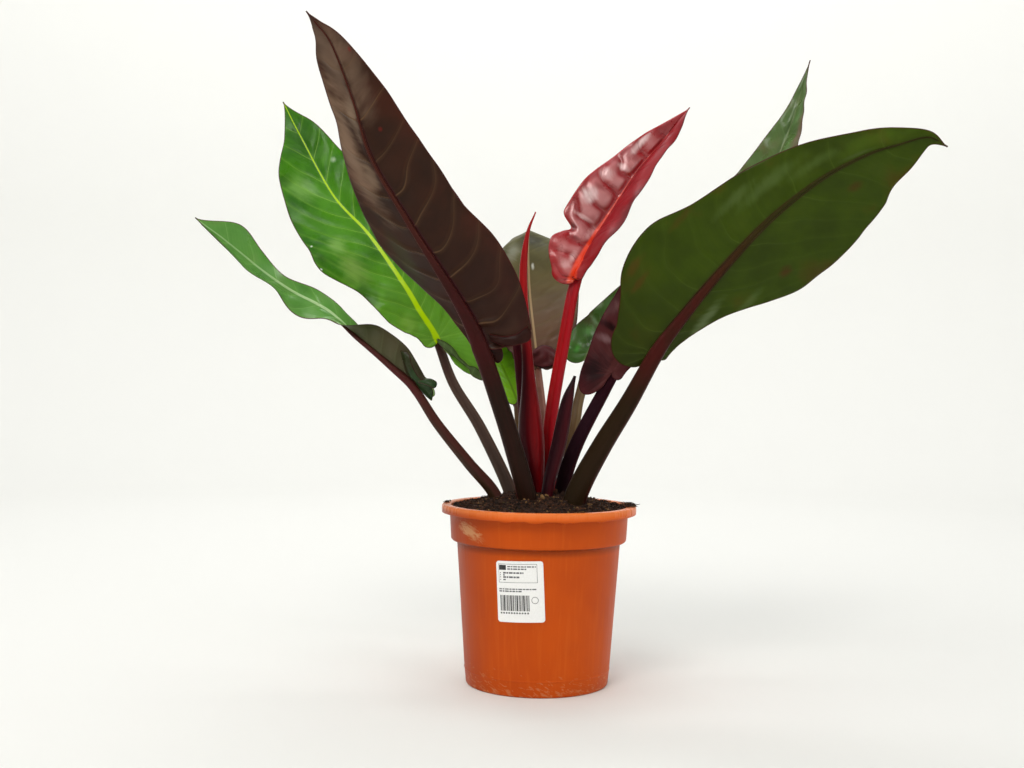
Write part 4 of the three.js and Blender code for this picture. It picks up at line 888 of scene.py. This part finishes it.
def makeSheath(name, sheath):
    knots, ends = withEnds(sheath["line"])
    rings, sides = sheathSkin["rings"], sheathSkin["sides"]
    share = np.linspace(0, 1, rings)
    place = share * (len(knots) - 1)
    i = np.minimum(place.astype(int), len(knots) - 2)
    centres = spline((place - i)[:, None], ends[i], ends[i + 1], ends[i + 2], ends[i + 3])
    ahead = unit(np.gradient(centres, axis=0))
    right = unit(np.array([1.0, 0, 0]) - ahead * ahead[:, :1])
    front = np.cross(ahead, right)
    angle = fullTurn * np.arange(sides) / sides
    cos, sin = np.cos(angle), np.sin(angle)
    seam = sheathSkin["seamHeight"] * np.exp(-((angle - sheathSkin["seam"]) / sheathSkin["seamBreadth"]) ** 2)
    groove = sheathSkin["grooveDepth"] * np.exp(-((angle - sheathSkin["groove"])
                                                  / sheathSkin["grooveBreadth"]) ** 2)
    reach = along(sheath["width"], share)[:, None] / 2 * (1 - groove + seam)
    points = (centres[:, None] + right[:, None] * (reach * cos)[..., None]
              + front[:, None] * (reach * sin)[..., None])
    marks = np.stack([cos + 0 * reach, sin + 0 * reach, points[..., 2]], -1)
    made = piece("spathe_" + name, points.reshape(-1, 3), ringFaces(rings, sides),
                 [sheathMaterial(name, sheath)], marks={"stalkPlace": marks})
    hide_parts(name)


for name, sheath in sheaths.items():
    makeSheath(name, sheath)
print("sheaths made")


# Thin-walled moulded polypropylene: an even, slightly waxy satin skin with faint flow streaks. In mm.
# burrs: flash under the lip at the front (degrees from the front, spread, drop)
# Its tones hold painted shade under the collar and on the left, and painted sheen and a highlight on the rim
pot = {"rimRadius": 105, "height": 192, "collarTop": 96.5, "collarFoot": 94.5, "collarFootHeight": 155.5,
       "bodyTop": 88, "bodyTopHeight": 152, "base": 77, "wall": 1.5, "floor": 2, "ringHeight": 17,
       "holes": 8, "holeRadius": 5, "holeRing": 60, "holeSides": 24, "sides": 160, "sharpDegrees": 50,
       "burrs": ((-20, 2.5, 1.3), (-3, 4, 1.7), (13, 1.8, 2.0), (18, 2.5, 1.2), (37, 2.2, 1.3)),
       "body": "#cc5206", "deep": "#bc4808", "light": "#d2611a", "rim": "#e46824", "dust": "#cca070",
       "shaded": "#8a3004", "collarShade": "#6c280c", "rimTopHighlight": "#f09050", "ior": 1.49, "gloss": 0.14}


def circle(radius, count):  # x and y of points round a circle
    angle = fullTurn * np.arange(count) / count
    return radius * np.cos(angle), radius * np.sin(angle)


def bodyRadius(height):
    return pot["base"] + (pot["bodyTop"] - pot["base"]) * height / pot["bodyTopHeight"]


def roundedProfile(corners, steps=4):  # outline with each corner rounded to its own radius
    done = []
    for i, (r, z, radius) in enumerate(corners):
        here = np.array([r, z], float)
        if radius == 0:
            done.append(here)
            continue
        before, after = (np.array(corners[j][:2], float) - here for j in (i - 1, i + 1))
        cut = min(radius, np.linalg.norm(before) * 0.45, np.linalg.norm(after) * 0.45)
        start, end = here + unit(before) * cut, here + unit(after) * cut
        for t in np.linspace(0, 1, steps + 1):
            done.append((1 - t) ** 2 * start + 2 * t * (1 - t) * here + t * t * end)
    return done


def makePot():
    ring, wall, base, floor, sides = (pot[key] for key in ("ringHeight", "wall", "base", "floor", "sides"))
    top, rim, inside, foot = pot["height"], pot["rimRadius"], pot["collarTop"], pot["collarFoot"]
    outline = np.array(roundedProfile([  # radius, height and rounding, up the outside and down the inside
        (0, 0, 0), (base - 0.6, 0, 2.2), (bodyRadius(ring - 2), ring - 2, 0),
        *((bodyRadius(ring + up) + out, ring + up, 0.5) for up, out in ((-1, 0.05), (0, 0.45), (1, 0.05))),
        (bodyRadius(ring + 2), ring + 2, 0), (bodyRadius(60), 60, 0), (bodyRadius(105), 105, 0),
        (pot["bodyTop"], pot["bodyTopHeight"], 2), (foot, pot["collarFootHeight"] - 1.5, 2.5),
        (foot + 1, 170, 0), (inside, top - wall, 2), (rim - 1.8, top - wall, 1), (rim - 1.8, top - 9, 0.3),
        (rim - 0.3, top - 9, 0.8), (rim, top - 5, 2), (rim - 0.4, top, 4.2), (inside - 1.2, top - 0.2, 1.6),
        (inside - wall - 0.6, top - 8, 1), (foot - wall, pot["collarFootHeight"] + 1, 2),
        (pot["bodyTop"] - wall, pot["bodyTopHeight"] + 1, 1.5), (base - wall, floor, 1.5), (0, floor, 0)]))
    inner = outline[1:-1]
    x, y = circle(inner[:, :1], sides)
    points = np.stack([x, y, inner[:, 1:] + 0 * x], -1).reshape(-1, 3)
    # Burrs under the lip, and a rim that is not quite true
    rimPart = smooth(np.hypot(points[:, 0], points[:, 1]), 99, 104)
    turn = np.degrees(np.arctan2(points[:, 0], -points[:, 1]))
    low = smooth(-points[:, 2], -184.5, -183)
    for at, spread, drop in pot["burrs"]:
        points[:, 2] -= drop * rimPart * low * np.exp(-((turn - at) / spread) ** 4)
    points[:, 2] += 0.25 * rimPart * np.sin(np.radians(turn) * 5 + 1)
    count = len(points)
    faces = ringFaces(len(inner), sides)[:-2]
    for k in range(sides):  # the floor's two faces
        after = (k + 1) % sides
        faces += [(count, after, k), (count + 1, count - sides + k, count - sides + after)]
    made = piece("nursery_pot", np.vstack([points, [0, 0, 0], [0, 0, floor]]), faces, [potMaterial()])
    # Drainage holes
    cutPoints, cutFaces = [], []
    hole = np.transpose(circle(pot["holeRadius"], pot["holeSides"]))
    for x, y in zip(*circle(pot["holeRing"], pot["holes"])):
        cutFaces += [tuple(len(cutPoints) + i for i in face) for face in ringFaces(2, pot["holeSides"])]
        cutPoints += [(x + u, y + v, z) for z in (-4, 6) for u, v in hole]
    cutter = piece("hole_cutter", cutPoints, cutFaces, [])
    cut = made.modifiers.new("holes", "BOOLEAN")
    cut.object = cutter
    cut.solver = "EXACT"
    shape = bpy.data.meshes.new_from_object(made.evaluated_get(bpy.context.evaluated_depsgraph_get()))
    made.modifiers.clear()
    made.data = shape
    bpy.data.objects.remove(cutter)
    shape.set_sharp_from_angle(angle=math.radians(pot["sharpDegrees"]))
    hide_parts("pot")


def potMaterial():  # heights and places in m here
    material, tree = newMaterial("moulded_polypropylene", {"IOR": pot["ior"],
                                                           "Specular IOR Level": pot["gloss"]})
    where = add(tree, "TexCoord").outputs["Object"]
    x, _, z = add(tree, "SeparateXYZ", [where]).outputs
    # Flow streaks run up the wall, about 4 mm wide and 120 mm long
    stretch = add(tree, "VectorMath", [where, (240, 240, 8)], **times)
    streaks = add(tree, "TexNoise", {"Vector": stretch, "Scale": 1, "Detail": 3})
    clouds = add(tree, "TexNoise", {"Vector": where, "Scale": 14, "Detail": 3})
    specks = add(tree, "TexNoise", {"Vector": where, "Scale": 900, "Detail": 2})
    # A scratchy smear of dried dust on the collar, left of the front
    smearAt = add(tree, "VectorMath", [where, (-0.0745, -0.0615, 0.1695)], operation="SUBTRACT")
    smearTurn = add(tree, "VectorRotate", {"Vector": smearAt, "Angle": -0.5}, rotation_type="Y_AXIS")
    smearSize = add(tree, "VectorMath", [smearTurn, (46, 46, 130)], **times)
    smearFar = add(tree, "VectorMath", [smearSize], operation="LENGTH").outputs["Value"]
    gritAt = add(tree, "VectorMath", [smearTurn, (130, 130, 420)], **times)
    grit = add(tree, "TexNoise", {"Vector": gritAt, "Scale": 1, "Detail": 6, "Distortion": 0.6})
    smearEdge = add(tree, "Math", [grit, -2.2, smearFar], operation="MULTIPLY_ADD")
    # Painted shade under the collar, and dust specks near the foot
    underCollar = add(tree, "MapRange", [z, 0.1445, 0.153, 0, 0.75])
    aboveCollar = add(tree, "MapRange", [z, 0.1535, 0.1545, 1, 0])
    dustEdge = add(tree, "MapRange", [z, 0.002, 0.045, 0.16, -0.1])
    dustSum = add(tree, "Math", [grit, dustEdge], operation="ADD")
    rimPart = add(tree, "MapRange", [z, 0.1825, 0.186, 0, 0.9])
    paint(tree, pot["deep"], [
        (add(tree, "MapRange", [clouds, 0.35, 0.65, 0, 0.7]), pot["body"]),
        (add(tree, "MapRange", [streaks, 0.52, 0.75, 0, 0.35]), pot["light"]),
        # painted sheen: the rim's lighter tone; its roughness is lower there too
        (rimPart, pot["rim"]),
        (add(tree, "MapRange", [z, 0, 0.014, 0.35, 0]), pot["deep"]),
        # painted shade on the pot's left side
        (add(tree, "MapRange", [x, -0.1, -0.035, 0.85, 0]), pot["shaded"]),
        (add(tree, "Math", [underCollar, aboveCollar], **times), pot["collarShade"]),
        # painted highlight along the top of the rim
        (add(tree, "MapRange", [z, 0.186, 0.1895, 0, 0.4]), pot["rimTopHighlight"]),
        (add(tree, "MapRange", [dustSum, 0.66, 0.76, 0, 0.3]), pot["dust"]),
        (add(tree, "MapRange", [smearEdge, -0.75, -0.1, 0.62, 0]), pot["dust"])])
    rough = add(tree, "MapRange", [streaks, 0.3, 0.7, 0.36, 0.5])
    add(tree, "Math", [rimPart, -0.16, rough], into="Roughness", operation="MULTIPLY_ADD")
    add(tree, "Bump", {"Height": specks, "Strength": 0.1, "Distance": 0.0003}, into="Normal")
    return material


makePot()
print("pot made")


# Coated paper sticker with plain generic print: a frame, a dark box, grey bars and stripes. In mm.
# print: left, right, bottom, top, 0 for dark or 1 for grey ink. dashes: left, right, middle, height of a row
label = {"width": 50, "height": 63, "thickness": 0.3, "corner": 3, "centre": 110, "azimuth": -13.6, "tilt": 2,
         "gap": 0.35, "columns": 40, "sharpDegrees": 40, "paperTone": "#fbfbfa", "paperRoughness": 0.35,
         "inks": (("black_label_ink", "#1c1c20"), ("grey_label_ink", "#5c5c60")), "inkRoughness": 0.5,
         "print": [(-22.3, 18.7, 28.2, 28.6, 1), (-22.3, 18.7, 9.3, 9.7, 1), (-22.3, -21.9, 9.3, 28.6, 1),
                   (18.3, 18.7, 9.3, 28.6, 1), (-21.7, -14, 22.3, 27.4, 0)],
         "dashes": [(-12.5, 17.5, 25.8, 1.2), (-12.5, 8.2, 23.4, 1.4), (-17.4, 4.5, 19.4, 1.7),
                    (-17.4, -15.6, 17.2, 1.5), (-17.4, 0.2, 15, 1.7), (-17.4, -14.6, 12.4, 1.4),
                    (-22.3, 17.3, 2.7, 1.2), (-22.3, 1.9, 0.5, 1.4)],
         "dashLengths": (3.1, 1.9, 4.2, 2.4), "dashGap": 0.7, "dots": (19.4, 17.2, 15, 12.4),
         "stripes": (-21.4, 9.6, -19.8, -3.6), "stripeWidths": (1.0, 0.5, 0.7, 1.5, 0.45),
         "stripeGaps": (0.5, 0.75, 0.42), "tick": (-21.6, -19.8, -22.8, -21.1), "ticks": 11,
         "tickPitch": 2.85,
         "ring": (15.4, -8.6), "ringRadii": (3.6, 3.1), "ringSides": 40, "inkFoot": 0.01, "inkTop": 0.05}


def labelPoint(x, y, lift):  # x to the right and y up from the label's centre
    tilt = math.radians(label["tilt"])
    across = x * math.cos(tilt) - y * math.sin(tilt)
    height = label["centre"] + x * math.sin(tilt) + y * math.cos(tilt)
    radius = bodyRadius(height) + label["gap"] + lift
    angle = math.radians(label["azimuth"]) + across / radius
    return radius * math.sin(angle), -radius * math.cos(angle), height


def labelSlab(rows, low, high):  # closed slab between two lifts, from rows of (x, bottom y, top y)
    points = [labelPoint(x, y, lift) for x, bottom, top in rows
              for y, lift in ((bottom, high), (top, high), (top, low), (bottom, low))]
    faces = [(a, a + 4, b + 4, b) for i in range(len(rows) - 1)
             for a, b in ((4 * i + k, 4 * i + (k + 1) % 4) for k in range(4))]
    return points, faces + [(0, 1, 2, 3), tuple(range(len(points) - 1, len(points) - 5, -1))]


def paperMaterial(name, tone, roughness):
    material, tree = newMaterial(name, {"Roughness": roughness})
    where = add(tree, "TexCoord").outputs["Object"]
    fibres = add(tree, "TexNoise", {"Vector": where, "Scale": 700, "Detail": 3})
    paint(tree, tone, [(add(tree, "MapRange", [fibres, 0.3, 0.8, 0, 0.12]), "#9a9a96")])
    return material


def makeLabel():
    thick, corner = label["thickness"], label["corner"]
    rows = []
    for i in range(label["columns"] + 1):
        x = -math.cos(math.pi * i / label["columns"]) * label["width"] / 2
        past = max(abs(x) - label["width"] / 2 + corner, 0)
        top = label["height"] / 2 - corner + math.sqrt(max(corner ** 2 - past ** 2, 0.01))
        rows.append((x, -top, top))
    points, faces = labelSlab(rows, 0, thick)
    paper = paperMaterial("coated_label_paper", label["paperTone"], label["paperRoughness"])
    sheet = piece("pot_label", points, faces, [paper])
    sheet.data.set_sharp_from_angle(angle=math.radians(label["sharpDegrees"]))
    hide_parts("label")

    marks = list(label["print"])
    for x, right, y, size in label["dashes"]:  # plain dashes of a few lengths
        step = 0
        while x < right:
            length = min(label["dashLengths"][step % 4], right - x)
            marks.append((x, x + length, y - size / 2, y + size / 2, 1))
            x += length + label["dashGap"]
            step += 1
    marks += [(-20.8, -19.9, y - 0.5, y + 0.5, 1) for y in label["dots"]]
    x, right, bottom, top = label["stripes"]
    step = 0
    while x < right:  # stripes in a plain repeating rhythm
        width = label["stripeWidths"][step % 5]
        marks.append((x, x + width, bottom, top, 0))
        x += width + label["stripeGaps"][step % 3]
        step += 1
    left, right, bottom, top = label["tick"]
    marks += [(left + label["tickPitch"] * i, right + label["tickPitch"] * i, bottom, top, 1)
              for i in range(label["ticks"])]
    foot, head = thick + label["inkFoot"], thick + label["inkTop"]
    points, faces, faceMaterials = [], [], []
    for left, right, bottom, top, ink in marks:
        steps = max(int((right - left) / 3), 1)
        rows = [(left + (right - left) * i / steps, bottom, top) for i in range(steps + 1)]
        slab, slabFaces = labelSlab(rows, foot, head)
        faces += [tuple(i + len(points) for i in face) for face in slabFaces]
        points += slab
        faceMaterials += [ink] * len(slabFaces)
    # A plain ring beside the stripes
    (x, y), (outer, inner), turns, start = label["ring"], label["ringRadii"], label["ringSides"], len(points)
    for u, v in np.transpose(circle(1, turns)):
        points += [labelPoint(x + r * u, y + r * v, lift)
                   for r, lift in ((outer, head), (inner, head), (inner, foot), (outer, foot))]
    for k in range(turns):
        now, after = start + 4 * k, start + 4 * ((k + 1) % turns)
        faces += [(now + j, after + j, after + (j + 1) % 4, now + (j + 1) % 4) for j in range(4)]
    faceMaterials += [1] * 4 * turns
    inks = [paperMaterial(name, tone, label["inkRoughness"]) for name, tone in label["inks"]]
    ink = piece("label_print", points, faces, inks, faceMaterials, smoothed=False)


makeLabel()
print("label made")


# Peat and bark mix: matte, crumbly, nearly black when damp, with tan bark chips and pale fibres. In mm.
# spilt: degrees from the front between which crumbs lie on the rim, and how many. rimReach, rimTurn and
# fibreReach: where crumbs and fibres lie there. clumpReach: how far from a stalk the matted clumps lie.
# crumbTones: where each tone starts and is full among the crumbs, and its strength
soil = {"wallHeight": 186.5, "mound": 19, "moundReach": 70, "lump": 1.6, "sides": 150, "rings": 60,
        "crumbs": 3800, "fibres": 620, "clumps": 150, "seed": 11, "spilt": ((-100, -88, 26), (76, 100, 60)),
        "dark": "#1e120c", "damp": "#382012", "bark": "#603a24", "tan": "#a37c4e", "moss": "#3f4a1e",
        "crumbTones": ((0.2, 0.7, 0.9, "damp"), (0.62, 0.85, 0.8, "bark"), (0.9, 0.96, 0.85, "tan"),
                       (0.985, 0.99, 0.7, "moss")),
        "gloss": 0.25, "bedRoughness": 0.92, "crumbRoughness": 0.9, "largestCrumb": 2.6,
        "rimReach": (97, 104), "rimTurn": (74, 102), "fibreReach": (94, 103), "clumpSize": (1.8, 4.2),
        "clumpReach": (7, 22)}


def soilHeight(x, y):
    reach = np.hypot(x, y) / soil["moundReach"]
    lumps = np.sin(x / 6 + 1.3) * np.cos(y / 5) + 0.6 * np.sin(x / 3.1 - y / 3.7)
    return soil["wallHeight"] + soil["mound"] * np.exp(-reach * reach) + soil["lump"] * lumps


def soilMaterial(name):
    material, tree = newMaterial(name, {"Roughness": soil["bedRoughness"],
                                        "Specular IOR Level": soil["gloss"]})
    where = add(tree, "TexCoord").outputs["Object"]
    crumbs = add(tree, "TexVoronoi", {"Vector": where, "Scale": 420, "Randomness": 1})
    clouds = add(tree, "TexNoise", {"Vector": where, "Scale": 120, "Detail": 6})
    each = add(tree, "SeparateColor", [crumbs.outputs["Color"]])
    paint(tree, soil["dark"], [(add(tree, "MapRange", [clouds, 0.4, 0.65, 0, 1]), soil["damp"]),
                               (add(tree, "MapRange", [each, 0.75, 0.95, 0, 0.7]), soil["bark"])])
    add(tree, "Bump", {"Height": crumbs.outputs["Distance"], "Strength": 0.9, "Distance": 0.0015},
        into="Normal")
    return material


def crumbMaterial():  # each crumb, chip or fibre has a tone of its own
    material, tree = newMaterial("peat_crumbs_and_bark", {"Roughness": soil["crumbRoughness"],
                                                          "Specular IOR Level": soil["gloss"]})
    own = add(tree, "NewGeometry").outputs["Random Per Island"]
    where = add(tree, "TexCoord").outputs["Object"]
    grain = add(tree, "TexNoise", {"Vector": where, "Scale": 900, "Detail": 3})
    layers = [(add(tree, "MapRange", [own, start, full, 0, strength]), soil[tone])
              for start, full, strength, tone in soil["crumbTones"]]
    layers.append((add(tree, "MapRange", [grain, 0.35, 0.7, 0.5, 0]), soil["dark"]))
    paint(tree, soil["dark"], layers)
    return material


def makeSoil():
    inset = pot["wall"] + 0.3
    wallReach = pot["collarTop"] - inset - 0.8
    rings = []
    for r, z in ((pot["base"], pot["floor"] + 0.3), (pot["bodyTop"], pot["bodyTopHeight"]),
                 (pot["collarFoot"], pot["collarFootHeight"] + 1.4)):
        x, y = circle(r - inset - 0.3, soil["sides"])
        rings.append(np.stack([x, y, z + 0 * x], -1))
    for r in np.linspace(wallReach, 1.5, soil["rings"]):
        x, y = circle(r, soil["sides"])
        rough = 0.9 * ripple(x, y, 9, 3) + 0.5 * ripple(x, y, 4, 5)
        rings.append(np.stack([x, y, soilHeight(x, y) + rough - 0.3], -1))
    made = piece("soil_bed", np.vstack(rings), ringFaces(len(rings), soil["sides"]),
                 [soilMaterial("damp_peat")])
    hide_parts("soil")

    draw = np.random.default_rng(soil["seed"])
    # A lump before it is stretched: an icosahedron, from its top down
    ico = np.array([(0, 0, 1)] + [(0.894 * math.cos(fullTurn * n / 5), 0.894 * math.sin(fullTurn * n / 5), z)
                                  for start, z in ((0, 0.447), (0.5, -0.447)) for n in np.arange(5) + start]
                   + [(0, 0, -1)])
    round5 = [(k, (k + 1) % 5) for k in range(5)]
    icoFaces = ([(0, 1 + a, 1 + b) for a, b in round5] + [(1 + a, 6 + a, 1 + b) for a, b in round5]
                + [(6 + a, 6 + b, 1 + b) for a, b in round5] + [(11, 6 + b, 6 + a) for a, b in round5])
    allPoints, allFaces = [], []

    def lay(points, faces):
        start = sum(map(len, allPoints))
        allPoints.append(points)
        allFaces.extend(tuple(start + i for i in face) for face in faces)

    def layLump(size, middle, least, rough, at):  # a rough flattened lump, turned any way
        stretch = np.array([1, draw.uniform(*middle), draw.uniform(*least)]) * size
        shape = ico * (1 + draw.uniform(-rough, rough, (12, 1))) * stretch
        turn = Matrix.Rotation(draw.uniform(0, fullTurn), 3, Vector(draw.normal(size=3)).normalized())
        lay(shape @ np.array(turn).T + at, icoFaces)

    spots = []
    for _ in range(soil["crumbs"]):
        reach, around = wallReach * math.sqrt(draw.uniform()) * 0.995, draw.uniform(0, fullTurn)
        x, y = reach * math.cos(around), reach * math.sin(around)
        spots.append((x, y, soilHeight(x, y)))
    for low, high, number in soil["spilt"]:
        for _ in range(number):
            around, reach = math.radians(draw.uniform(low, high)), draw.uniform(*soil["rimReach"])
            spots.append((reach * math.sin(around), -reach * math.cos(around), pot["height"] + 0.5))
    for x, y, level in spots:
        size = min(draw.lognormal(-0.15, 0.45), soil["largestCrumb"])
        layLump(size, (0.5, 1), (0.3, 0.9), 0.25, (x, y, level + 0.25 * size))
    for i in range(soil["fibres"]):  # curved three-sided threads, each sixth on the rim
        if i % 6 == 0:
            around, reach = math.radians(draw.uniform(*soil["rimTurn"])), draw.uniform(*soil["fibreReach"])
            x, y, level = reach * math.sin(around), -reach * math.cos(around), pot["height"] + 1
        else:
            reach, around = wallReach * math.sqrt(draw.uniform()) * 0.95, draw.uniform(0, fullTurn)
            x, y = reach * math.cos(around), reach * math.sin(around)
            level = soilHeight(x, y) + 0.8
        length, bend, thick = draw.uniform(4, 13), draw.uniform(-1.6, 1.6), draw.uniform(0.12, 0.3)
        corners = np.transpose(circle(thick, 3))
        strand = [(length * s, bend * 4 * s * s + u, v)
                  for s in (step / 5 - 0.5 for step in range(6)) for u, v in corners]
        flatTurn = np.array(Matrix.Rotation(draw.uniform(0, fullTurn), 3, "Z")
                            @ Matrix.Rotation(draw.uniform(-0.25, 0.25), 3, "Y"))
        lay(np.array(strand) @ flatTurn.T + (x, y, level), ringFaces(6, 3))
    stems = [leaf["stalk"][1] for leaf in leaves.values()]
    for i in range(soil["clumps"]):  # matted bark and fibre round the stalks
        around, reach = draw.uniform(0, fullTurn), draw.uniform(*soil["clumpReach"])
        x, y = stems[i % len(stems)][0], stems[i % len(stems)][1]
        x, y = x + reach * math.cos(around), y + reach * math.sin(around)
        size = draw.uniform(*soil["clumpSize"])
        layLump(size, (0.4, 0.8), (0.25, 0.6), 0.3, (x, y, soilHeight(x, y) + 0.6))
    crumbs = piece("soil_crumbs", np.vstack(allPoints), allFaces, [crumbMaterial()], smoothed=False)


makeSoil()
print("soil made")

# The buried stem keeps its solid, in rough cork that is as matt and dark as the mix
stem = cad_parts["stem"].data.materials
stem.clear()
stem.append(soilMaterial("corky_stem"))
